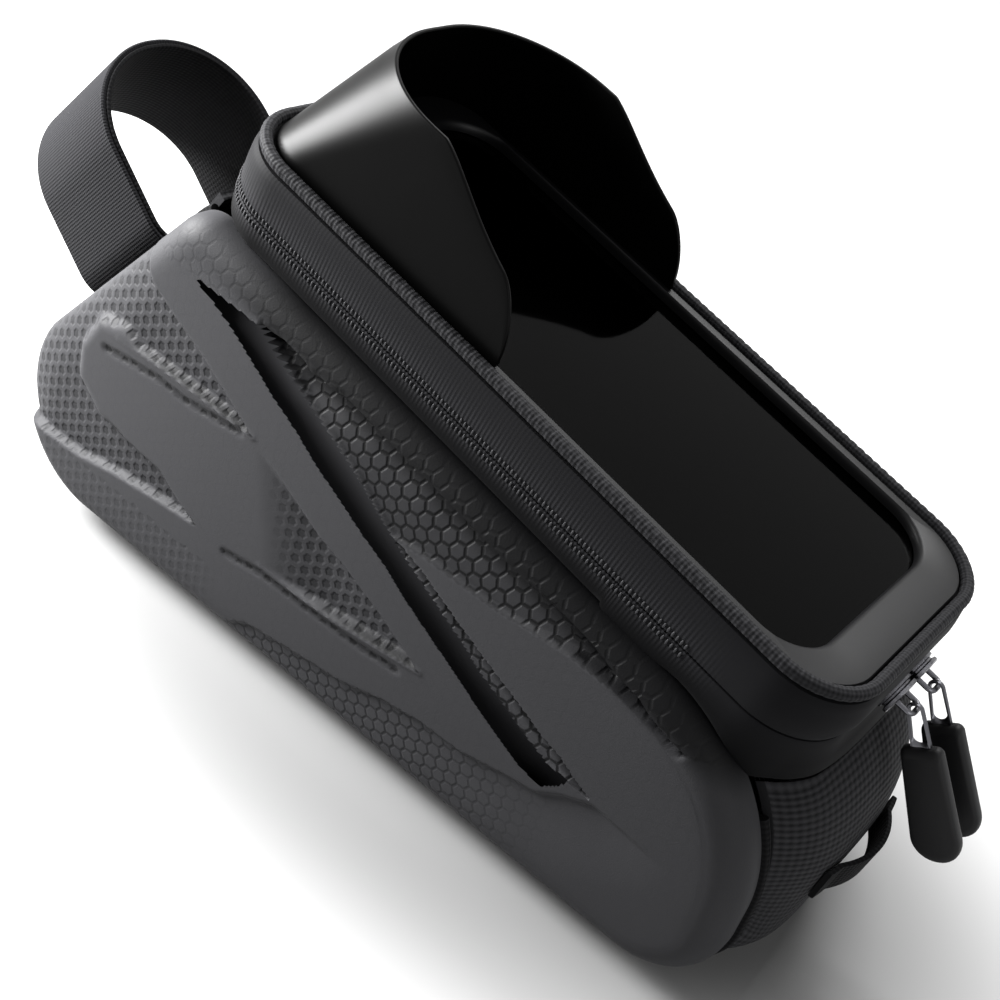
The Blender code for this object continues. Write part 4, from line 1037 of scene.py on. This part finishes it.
def rim_section(point):
    """The smooth panel under the zip: it swells to the seam and tucks in at its lower edge."""
    bottom, out = rim_low(point), rim_bulge(point)
    return [(0.0004, -0.0153), (0.0001, -0.0160), (0.0001 - out * 0.1, -0.0180),
            (0.0001 - out * 0.55, (bottom - 0.018) / 2), (0.0002 - out * 0.97, bottom + 0.0016),
            (0.0005 - out, bottom + 0.0005), (0.0009 - out, bottom), (0.0032 - out, bottom), (0.0032, -0.0153)]


# The last list paints shade: the panel turns black towards its lower edge, in the gap above the shells.
rim = band("rim_panel", rim_section, [1, 1, 0.9, 0.1, 0, 0, 0, 0, 1], [1, 1, 0.5, 0, 0, 0, 0, 0, 0])
dress("rim_panel", rim, tape_cloth, "body", ["rim_band", "zip_tape_lower"])

# %% [markdown]
# ## The lid's wall
#
# From the braided edge the wall rolls over a soft shoulder and drops to the zip. Along the sides it is the
# ribbed zip tape itself, and round the rear it is smooth cloth that bulges a little.


# %% The wall above the zip
def wall_section(point):
    """The lid's wall: a soft shoulder, a full belly and a lip at the zip."""
    belly = 0.0006 * rear_share(point)
    outer = [(0.0011, -0.0020), (0.0005, -0.0028), (0.0002, -0.0042), (0.0001 - belly / 2, -0.0060),
             (-belly, -0.0085), (-belly, -0.0115), (0.0001, -0.0138), (0.0004, -0.01470)]
    return outer + [(0.0033, -0.01470), (0.0033, -0.0060), (0.0065, -0.0060), (0.0065, -0.0043),
                    (0.0041, -0.0043), (0.0041, -0.0020)]


# The last list paints the wall's inner side black as shade.
wall = band("lid_side_wall", wall_section, [0.15, 0.15, 0.15, 0.2, 0.4, 0.8, 1, 1] + [0] * 6, [1] * 8 + [0] * 6)
dress("lid_side_wall", wall, tape_cloth, "lid", ["lid_wall", "zip_tape_upper"])

# %% [markdown]
# ## Rows of small things
#
# The zip's rungs repeat hundreds of times along a line. A Geometry Nodes tree resamples the
# line at the real spacing, puts a small flattened bead on each point, turns it along the line, and gives it
# its material. The result is baked to a plain mesh.


# %% A tree for beads along a line
def bead_tree():
    """Build the tree: beads along a line, with their spacing and sizes as inputs."""
    tree = bpy.data.node_groups.new("beads_along_line", "GeometryNodeTree")
    face = tree.interface
    face.new_socket("Geometry", in_out="INPUT", socket_type="NodeSocketGeometry")
    for name, default in (("Spacing", 0.003), ("Along", 0.002), ("Across", 0.0005), ("Thick", 0.0004)):
        face.new_socket(name, in_out="INPUT", socket_type="NodeSocketFloat").default_value = default
    face.new_socket("Up", in_out="INPUT", socket_type="NodeSocketVector").default_value = (0.0, 0.0, 1.0)
    face.new_socket("Finish", in_out="INPUT", socket_type="NodeSocketMaterial")
    face.new_socket("Geometry", in_out="OUTPUT", socket_type="NodeSocketGeometry")
    given = add_node(tree, "NodeGroupInput")
    line = add_node(tree, "GeometryNodeMeshToCurve", sockets={0: given.outputs["Geometry"]})
    spaced = add_node(tree, "GeometryNodeResampleCurve", {"mode": "LENGTH"},
                      {"Curve": line, "Length": given.outputs["Spacing"]})
    heading = add_node(tree, "GeometryNodeInputTangent")
    first = add_node(tree, "FunctionNodeAlignRotationToVector", {"axis": "X"}, {"Vector": heading})
    second = add_node(tree, "FunctionNodeAlignRotationToVector", {"axis": "Z", "pivot_axis": "X"},
                      {"Rotation": first, "Vector": given.outputs["Up"]})
    bead = add_node(tree, "GeometryNodeMeshUVSphere", sockets={"Segments": 8, "Rings": 5, "Radius": 0.5})
    size = add_node(tree, "ShaderNodeCombineXYZ", sockets={"X": given.outputs["Along"], "Y": given.outputs["Thick"],
                                                          "Z": given.outputs["Across"]})
    placed = add_node(tree, "GeometryNodeInstanceOnPoints", sockets={
        "Points": spaced, "Instance": bead.outputs["Mesh"], "Rotation": second, "Scale": size})
    real = add_node(tree, "GeometryNodeRealizeInstances", sockets={0: placed})
    finished = add_node(tree, "GeometryNodeSetMaterial", sockets={0: real, "Material": given.outputs["Finish"]})
    result = add_node(tree, "NodeGroupOutput")
    tree.links.new(finished.outputs[0], result.inputs["Geometry"])
    return tree


BEADS = bead_tree()


def line_mesh(name, lines):
    """Return a mesh of open lines of 3D points."""
    points, edges = [], []
    for line in lines:
        start = len(points)
        points += [tuple(point) for point in line]
        edges += [(start + step, start + step + 1) for step in range(len(line) - 1)]
    mesh = bpy.data.meshes.new(name)
    mesh.from_pydata(points, edges, [])
    return mesh


def settled(host):
    """Return an object's mesh as its modifiers leave it."""
    graph = bpy.context.evaluated_depsgraph_get()
    graph.update()
    return bpy.data.meshes.new_from_object(host.evaluated_get(graph))


def bake(host, tree, values):
    """Run a node tree on an object with named inputs, and return the result as a plain mesh."""
    change = host.modifiers.new(tree.name, "NODES")
    change.node_group = tree
    for item in tree.interface.items_tree:
        if item.in_out == "INPUT" and item.name in values:
            change[item.identifier] = values[item.name]
    mesh = settled(host)
    host.modifiers.remove(change)
    bpy.data.objects.remove(host)
    return mesh


def beads(name, lines, finish, body, spacing, along, across, thick, up):
    """Make a row of beads along lines as a finished piece."""
    host = put(name + "_line", line_mesh(name + "_line", lines))
    mesh = bake(host, BEADS, {"Spacing": spacing, "Along": along, "Across": across, "Thick": thick,
                              "Up": tuple(float(v) for v in up), "Finish": finish})
    return dress(name, mesh, finish, body)


LID_UP = (math.sin(SLOPE), 0.0, math.cos(SLOPE))
ZIP_END = 0.066


def zip_line(outwards, up):
    """Return the zip's line along both sides and round the front, this far out and up from the lid's plan."""
    ring = plan_ring(-outwards)
    ring = np.roll(ring, -int(np.argmin(np.abs(ring - complex(ZIP_END, LID_WIDTH / 2)))))
    points = [point for point in ring if point.real < ZIP_END]
    return [on_lid(point.real, point.imag, up) for point in points]


RUNG_SPACING, RUNG_SIZE, RUNG_OUT = 0.0013, (0.0006, 0.0017, 0.0004), 0.0001

for label, body, height in (("upper", "lid", -0.0136), ("lower", "body", -0.0164)):
    line = evenly(zip_line(RUNG_OUT, height), 420)
    beads("zip_rungs_" + label, [line], thread, body, RUNG_SPACING, *RUNG_SIZE, LID_UP)

# %% [markdown]
# ## The braided edge
#
# A braided tape is folded round the lid's edge and sewn. Its strands lie at an angle, so the tube's radius
# follows a wave that runs both along it and round it.


# %% Binding
STRAND_PITCH, BRAID_CORE, BRAID_RAISE = 0.0026, 0.00142, 0.00026
BRAID_INSET, BRAID_POINTS = 0.0024, 1200


def strand(travelled, angles):
    """Return the braid's radius: low where two strands meet."""
    first = np.abs(np.sin(math.pi * travelled / STRAND_PITCH + angles))
    second = np.abs(np.sin(math.pi * travelled / STRAND_PITCH - angles))
    return BRAID_CORE + BRAID_RAISE * np.maximum(first, second)


edge_line = plan_ring(BRAID_INSET)
edge_path = np.array([on_lid(point.real, point.imag, 0.0) for point in edge_line])
edge_path = evenly(np.concatenate([edge_path, edge_path[:1]]), BRAID_POINTS + 1)[:-1]
edge = tube("braided_edge", edge_path, None, 14, True, strand)
dress("braided_edge", edge, braid, "lid", ["lid_binding"], sharp=70)

# %% [markdown]
# ## Window frame and film
#
# The window is a clear film bonded under a smooth moulded frame. The frame's inner edge is rounded and
# drops to the film, which shows as a dark step round the window.


# %% Frame and window
def round_rect(length, width, radius, steps=16):
    """Return a rectangle with round corners as complex points, corner by corner."""
    half = complex(length / 2, width / 2)
    corners = [-half, half.conjugate(), half, -half.conjugate()]
    return rounded(corners, [radius] * 4, steps)


FRAME_INSET, FRAME_LIP = 0.0044, 0.0016
HOLE_SIZE, FILM_SIZE = (0.167, 0.071, 0.014), (0.170, 0.074, 0.0155)


def frame_rings():
    """Return the frame's section at each point of its outline."""
    outer = round_rect(LID_LENGTH - 2 * FRAME_INSET, LID_WIDTH - 2 * FRAME_INSET, LID_CORNER - FRAME_INSET)
    inner = round_rect(*HOLE_SIZE)
    rings = []
    for out, hole in zip(outer, inner):
        toward = hole - out
        unit = toward / abs(toward)
        section = [(out, -0.0030), (out, -0.0004), (out + unit * 0.0004, 0.0), (hole - unit * FRAME_LIP, -0.0002),
                   (hole - unit * 0.0007, -0.0006), (hole - unit * 0.0002, -0.0013), (hole, -0.0022),
                   (hole, -0.0030)]
        rings.append([on_lid(spot.real, spot.imag, up) for spot, up in section])
    return rings


dress("window_frame", skin("window_frame", frame_rings(), looped=True), frame_satin, "lid", ["lid_frame"])


def plate(name, outline, levels):
    """Return a flat plate on the lid: levels are (inset towards the middle, height) pairs, bottom to top."""
    rings = []
    for distance, up in levels:
        spots = outline * (1 - distance / np.abs(outline))
        rings.append([on_lid(spot.real, spot.imag, up) for spot in spots])
    return skin(name, rings)


film = plate("window_sheet", round_rect(*FILM_SIZE), [(0.0, -0.0039), (0.0, -0.0033)])
dress("window_sheet", film, film_clear, "lid", ["window_film"])

# %% [markdown]
# ## Phone pocket
#
# Under the window hangs a pocket with a foam bed, open at the rear. Both are black, so the window looks
# black from outside.

# %% Pocket and pad
POCKET_REACH, POCKET_HALF, POCKET_WALL, POCKET_SAG = 0.081, 0.03725, 0.0012, 0.0006
POCKET_TOP, POCKET_FLOOR = -0.0063, -0.0190
PAD_SIZE = (0.158, 0.0681, 0.006)
PAD_LEVELS = [(0.0014, -0.0175), (0.0004, -0.0173), (0.0, -0.0166), (0.0, -0.0156), (0.0006, -0.0150),
              (0.0022, -0.0146), (0.010, -0.0143), (0.022, -0.0142)]


def trough(half, floor, radius):
    """Return the pocket's outline across the lid: down one side, along the floor and up the other."""
    corners = [complex(-half, POCKET_TOP), complex(-half, floor), complex(half, floor), complex(half, POCKET_TOP)]
    return rounded(corners, [0, radius, radius, 0], 8, closed=False)


pocket_rings = []
for along in np.linspace(-POCKET_REACH, POCKET_REACH, 30):
    floor = POCKET_FLOOR - POCKET_SAG * math.sin(math.pi * (along + POCKET_REACH) / (2 * POCKET_REACH))
    outside = trough(POCKET_HALF, floor, 0.003)
    inside = trough(POCKET_HALF - POCKET_WALL, floor + POCKET_WALL, 0.0018)[::-1]
    pocket_rings.append([on_lid(along, spot.real, spot.imag) for spot in np.concatenate([outside, inside])])
dress("pocket_lining", skin("pocket_lining", pocket_rings), lining, "lid", ["phone_pocket"])

pad_mesh = plate("foam_bed", round_rect(*PAD_SIZE), PAD_LEVELS)
bed = dress("foam_bed", pad_mesh, foam, "lid", ["phone_pad"])

# %% [markdown]
# ## The hood
#
# One sheet of polished PVC is bent in a U round the front of the window and leans inwards to its free edge.
# It drops to the lid in a round end on each side. The sheet is thin, with a rounded free edge.

# %% Hood
HOOD_THICK, HOOD_REACH = 0.0012, 0.090
HOOD_TALL, HOOD_LOW = 0.033, 0.016
HOOD_LEVEL, HOOD_EASE, HOOD_END = 0.30, 0.35, 0.014
HOOD_LEAN, HOOD_FRONT_LEAN, HOOD_TOP_CORNER = 0.004, 0.012, 0.030
HOOD_INSET = HOOD_THICK / 2 + 0.0041 + 2 * GAP


def hood_curve(half_width, front, corner):
    """Return a U of complex points round the lid's front half, closer together towards its ends."""
    end = -LID_LENGTH / 2 + HOOD_REACH
    straight = 60
    shares = 1 - (np.arange(straight) / straight) ** 2
    side = front + corner + (end - front - corner) * shares - 1j * half_width
    corners = [complex(end, -half_width), complex(front, -half_width), complex(front, half_width),
               complex(end, half_width)]
    bend = rounded(corners, [0, corner, corner, 0], 26, closed=False)[1:-1]
    return np.concatenate([side, bend, side.conjugate()[::-1]])


def hood_height(along):
    """Return the hood's height above the lid, by the distance from the lid's front."""
    level = HOOD_REACH * HOOD_LEVEL
    share = min(max((along - level) / (HOOD_REACH - level), 0.0), 1.0)
    share = share * share * (3 - 2 * share) * HOOD_EASE + share * (1 - HOOD_EASE)
    height = HOOD_TALL + (HOOD_LOW - HOOD_TALL) * share
    to_end = (HOOD_REACH - along) / HOOD_END
    if to_end < 1:
        height *= math.sqrt(max(1 - (1 - to_end) ** 2, 0.0))
    return max(height, HOOD_THICK)


def hood_section(foot, lean, out):
    """Return the sheet's section: up its outer side, over its round edge, and down its inner side."""
    height = hood_height(foot.real + LID_LENGTH / 2)
    top = foot + lean * height / HOOD_TALL
    shares = np.linspace(0, 1, 9)[:-1]
    outer = [(foot + (top - foot) * t - out, GAP + (height - GAP) * t) for t in shares]
    edge = [(top - out * math.cos(a), height - HOOD_THICK / 2 + HOOD_THICK / 2 * math.sin(a))
            for a in np.linspace(0, math.pi, 7)]
    inner = [(foot + (top - foot) * t + out, GAP + (height - GAP) * t) for t in shares[::-1]]
    return [on_lid(spot.real, spot.imag, up) for spot, up in outer + edge + inner]


# %% Build the hood
foot_line = hood_curve(LID_WIDTH / 2 - HOOD_INSET, -LID_LENGTH / 2 + HOOD_INSET, LID_CORNER - HOOD_INSET)
top_line = hood_curve(LID_WIDTH / 2 - HOOD_INSET - HOOD_LEAN, -LID_LENGTH / 2 + HOOD_INSET + HOOD_FRONT_LEAN,
                      HOOD_TOP_CORNER)
heading = np.gradient(foot_line)
sideways = -1j * heading / np.abs(heading) * HOOD_THICK / 2
hood_rings = [hood_section(foot, top - foot, out) for foot, top, out in zip(foot_line, top_line, sideways)]
dress("glossy_hood", skin("glossy_hood", hood_rings), hood_gloss, "lid", ["visor_hood"], sharp=60)

# %% [markdown]
# ## Base pad and tube straps
#
# A grip pad lies on the bicycle's top tube. Two straps pass through channels in it. The pad is a rounded
# plate with a fine grain, and the straps are flat webbing.


# %% Base
PAD_LOW, PAD_HIGH, PAD_CORNER = (-0.090, -0.028, 0.0), (0.090, 0.028, 0.0040), 0.008
CHANNEL_HALF, CHANNEL_REACH, CHANNEL_FROM, CHANNEL_TO = 0.0128, 0.056, 0.0018, 0.0062
STRAP_HALF, STRAP_REACH, STRAP_FROM, STRAP_TO = 0.0125, 0.034, 0.0021, 0.0037
STRAP_PLACES = {"front": -0.055, "rear": 0.055}


def slab(name, low_corner, high_corner, radius, edge=0.0008):
    """Return a slab with round corners in plan and small rounds on its edges."""
    size = [b - a for a, b in zip(low_corner, high_corner)]
    middle = complex((low_corner[0] + high_corner[0]) / 2, (low_corner[1] + high_corner[1]) / 2)
    rings = []
    for share in (0.0, 0.3, 1.0):
        shrink = edge * (1 - math.sin(share * math.pi / 2))
        spots = round_rect(size[0] - 2 * shrink, size[1] - 2 * shrink, radius, 10) + middle
        rings.append([(s.real, s.imag, low_corner[2] + edge * (1 - math.cos(share * math.pi / 2))) for s in spots])
    top = [[(x, y, low_corner[2] + high_corner[2] - z) for x, y, z in ring] for ring in rings[::-1]]
    return skin(name, rings + top)


def channelled_pad():
    """Return the base pad with its two strap channels cut out."""
    host = put("pad_cut", slab("base_grip_pad", PAD_LOW, PAD_HIGH, PAD_CORNER))
    for middle in STRAP_PLACES.values():
        channel = slab("channel", (middle - CHANNEL_HALF, -CHANNEL_REACH, CHANNEL_FROM),
                       (middle + CHANNEL_HALF, CHANNEL_REACH, CHANNEL_TO), 0.0001, 0.00001)
        cut = host.modifiers.new("channel", "BOOLEAN")
        cut.object = put("channel", channel)
        cut.solver = "EXACT"
    mesh = settled(host)
    for used in [host] + [cut.object for cut in host.modifiers]:
        bpy.data.objects.remove(used)
    return mesh


dress("base_grip_pad", channelled_pad(), pad_rubber, "body", ["base_pad"], sharp=30)
for label, middle in STRAP_PLACES.items():
    strap = slab("webbing_strap_" + label, (middle - STRAP_HALF, -STRAP_REACH, STRAP_FROM),
                 (middle + STRAP_HALF, STRAP_REACH, STRAP_TO), 0.004, 0.0004)
    dress("webbing_strap_" + label, strap, webbing, "body", ["tube_strap_" + label])

# %% [markdown]
# ## The head tube strap
#
# A hook-and-loop strap loops forward to hold the head tube: woven webbing outside, loop pile inside. It
# passes under a keeper sewn to the front.

# %% Strap frame
STRAP_SPOT = TOP_FRONT + FRONT_DOWN * (KNEE_DROP + 0.042)
FACE_IN = Vector((math.sin(FRONT_SLOPE), 0.0, -math.cos(FRONT_SLOPE)))
FACE_UP = Vector((math.cos(FRONT_SLOPE), 0.0, math.sin(FRONT_SLOPE)))


def on_front(into, across, up):
    """Return a world point of the front face: into the bag, across it and up it."""
    spot = Vector((STRAP_SPOT.real, 0.0, STRAP_SPOT.imag)) + FACE_IN * into + FACE_UP * up
    return (spot.x, spot.y + across, spot.z)


def strap_ring(spots, out_from, out_to, half):
    """Return rings of a flat strap along complex points, between two distances to the left of the path."""
    heading = np.gradient(spots)
    left = 1j * heading / np.abs(heading)
    rings = []
    for spot, aside in zip(spots, left):
        corners = [complex(out_from, -half), complex(out_to, -half), complex(out_to, half), complex(out_from, half)]
        section = [(spot + aside * s.real, s.imag) for s in rounded(corners, [STRAP_EDGE] * 4, 3)]
        rings.append([on_front(place.real, place.imag, up) for place, up in section])
    return rings


# %% Build the strap
LOOP_REACH, LOOP_HALF, STRAP_EDGE = 0.057, 0.0265, 0.0005
LOOP_RADII = [0.010, 0.026, 0.026, 0.010]

loop_corners = [complex(-GAP, -LOOP_HALF), complex(-LOOP_REACH, -LOOP_HALF), complex(-LOOP_REACH, LOOP_HALF),
                complex(-GAP, LOOP_HALF)]
loop_line = rounded(loop_corners, LOOP_RADII, 40)
loop_line = evenly(np.append(loop_line, loop_line[0]), 241)[:-1]
outer_layer = skin("strap_webbing", strap_ring(loop_line, 0.0001, 0.0014, 0.0200), looped=True)
inner_layer = skin("strap_loop_pile", strap_ring(loop_line, 0.0015, 0.0029, 0.0196), looped=True)
dress("strap_webbing", outer_layer, webbing, "body", ["head_tube_strap"])
dress("strap_loop_pile", inner_layer, loop_pile, "body")

# %% Keeper
KEEPER_REACH, KEEPER_RINGS = 0.013, 20


def keeper_section():
    """Return the keeper's section across the strap: two feet and a bridge."""
    half, depth, thick = 0.0203, 0.0036, 0.0016
    outer = [complex(-GAP, -half - 0.0030), complex(-depth - thick, -half - 0.0012),
             complex(-depth - thick, half + 0.0012), complex(-GAP, half + 0.0030), complex(-GAP, half),
             complex(-depth, half), complex(-depth, -half), complex(-GAP, -half)]
    return rounded(outer, [0.0002, 0.0009, 0.0009, 0.0002, 0.0002, 0.0003, 0.0003, 0.0002], 5)


keeper_rings = [[on_front(spot.real, across, spot.imag) for spot in keeper_section()]
                for across in np.linspace(-KEEPER_REACH, KEEPER_REACH, KEEPER_RINGS)]
dress("front_keeper", skin("front_keeper", keeper_rings), webbing, "body", ["strap_keeper"])

# %% [markdown]
# ## The light loop
#
# A short piece of webbing is sewn across the rear at both ends and stands off in the middle, for a clip-on
# light.

# %% Light loop
LIGHT_HALF, LIGHT_LOW, LIGHT_HIGH, LIGHT_THICK = 0.0185, 0.031, 0.041, 0.0014
LIGHT_LIFT, LIGHT_SPAN = 0.0032, 0.72

loop_rings = []
for share in np.linspace(-1, 1, 49):
    y = share * LIGHT_HALF
    lift = GAP + LIGHT_LIFT * max(0.0, 1 - (share / LIGHT_SPAN) ** 2)
    foot, head = gusset_rear(y, LIGHT_LOW) + lift, gusset_rear(y, LIGHT_HIGH) + lift
    corners = [complex(foot, LIGHT_LOW), complex(foot + LIGHT_THICK, LIGHT_LOW),
               complex(head + LIGHT_THICK, LIGHT_HIGH), complex(head, LIGHT_HIGH)]
    section = rounded(corners, [0.0004] * 4, 3)
    loop_rings.append([(s.real, y, s.imag) for s in section])
dress("rear_webbing_loop", skin("rear_webbing_loop", loop_rings), webbing, "body", ["light_loop"])

# %% [markdown]
# ## Sliders and pulls
#
# Two sliders meet at the rear. Each is a plated body with a bail, a metal eye hooks into the bail, and a
# rubber tab is moulded on the eye.

# %% Slider
SLIDER_SPOTS = {"left": 0.0, "right": 0.012}
PULL_DEPTH = 0.0073
HANG = math.radians(34.0)
SLIDER_LEVELS = [(0.90, 0.0), (1.0, 0.0003), (1.0, 0.0010), (0.82, 0.0013), (0.82, 0.0017), (1.0, 0.0020),
                 (1.0, 0.0027), (0.90, 0.0030)]
BAIL_HALF, BAIL_FOOT, BAIL_WIRE = 0.0026, 0.0026, 0.0007


def at_zip(out, across, up):
    """Return a world point at the rear of the zip, out of the wall, across and up."""
    return on_lid(LID_LENGTH / 2 + GAP + out, across, -ZIP_DROP + up)


def slider_mesh(name, middle):
    """Return a slider: two stacked plates with a waist, and its bail."""
    outline = rounded([complex(-0.0052, -0.0030), complex(0.0, -0.0043), complex(0.0052, -0.0030),
                       complex(0.0052, 0.0030), complex(0.0, 0.0043), complex(-0.0052, 0.0030)],
                      [0.0014, 0.004, 0.0014, 0.0014, 0.004, 0.0014], 6)
    rings = [[at_zip(out, middle + s.real * scale, s.imag * scale) for s in outline]
             for scale, out in SLIDER_LEVELS]
    body = skin(name, rings)
    arch = rounded([complex(-BAIL_HALF, BAIL_FOOT), complex(-BAIL_HALF, PULL_DEPTH),
                    complex(BAIL_HALF, PULL_DEPTH), complex(BAIL_HALF, BAIL_FOOT)],
                   [0, 0.0016, 0.0016, 0], 8, closed=False)
    path = [at_zip(s.imag, middle + s.real, 0.0) for s in evenly(arch, 40)]
    bail = tube(name + "_bail", path, BAIL_WIRE, 10)
    builder = bmesh.new()
    builder.from_mesh(body)
    builder.from_mesh(bail)
    joined = bpy.data.meshes.new(name)
    builder.to_mesh(joined)
    builder.free()
    return joined


# %% Eye and tab of a pull
PIVOT = at_zip(PULL_DEPTH, 0.0, 0.0)
EYE_HALF_THICK, TAB_HALF_THICK, TAB_TAPER = 0.0006, 0.0021, 0.16


def on_pull(middle, down, aside, out):
    """Return a world point of a hanging pull: down its length, aside in its plane, out of its plane."""
    hang = np.array([math.sin(HANG), 0.0, -math.cos(HANG)])
    flat = np.cross((0.0, 1.0, 0.0), hang)
    return np.array([PIVOT[0], middle, PIVOT[2]]) + hang * down + flat * aside + np.array([0.0, out, 0.0])


def eye_mesh(name, middle):
    """Return the flat metal eye: a ring round the bail that widens into the tab."""
    def ring(start, end, first, last):
        angles = np.linspace(math.pi / 2, 3 * math.pi / 2, 14)
        head = start + first + first * np.exp(1j * angles)
        tail = end - last + last * np.exp(1j * (angles + math.pi))
        return np.concatenate([head, tail])
    outer = ring(-0.0022, 0.0130, 0.0022, 0.0027)
    hole = ring(-0.0012, 0.0080, 0.0012, 0.0017)
    rings = []
    for out, inner in zip(outer, hole):
        wide = inner - out
        section = [(out, 0.0), (out + wide * 0.25, EYE_HALF_THICK), (out + wide * 0.75, EYE_HALF_THICK),
                   (inner, 0.0), (out + wide * 0.75, -EYE_HALF_THICK), (out + wide * 0.25, -EYE_HALF_THICK)]
        rings.append([on_pull(middle, s.real, s.imag, level) for s, level in section])
    return skin(name, rings, looped=True)


def tab_mesh(name, middle):
    """Return the rubber tab: a rounded bar that widens to its smooth end."""
    outline = rounded([complex(0.009, -0.0049), complex(0.039, -0.0063), complex(0.039, 0.0063),
                       complex(0.009, 0.0049)], [0.0015, 0.0058, 0.0058, 0.0015], 10)
    centre = complex(0.024, 0.0)
    rings = []
    for share in np.linspace(-1, 1, 9):
        shrink = 1 - TAB_TAPER * (1 - math.sqrt(max(1 - abs(share) ** 2.6, 0.0)))
        rings.append([on_pull(middle, (centre + (s - centre) * shrink).real, ((s - centre) * shrink).imag,
                              share * TAB_HALF_THICK) for s in outline])
    return skin(name, rings)


PULL_PIECES = [("plated_slider_", slider_mesh, nickel, "slider_", "slider_", "metal"),
               ("plated_eye_", eye_mesh, nickel, "pull_", "pull_eye_", "metal"),
               ("rubber_tab_", tab_mesh, pull_rubber, "pull_", "pull_tab_", "pull")]

for label, middle in SLIDER_SPOTS.items():
    for name, build, finish, body, node, slot in PULL_PIECES:
        dress(name + label, build(name + label, middle), finish, body + label, [node + label])
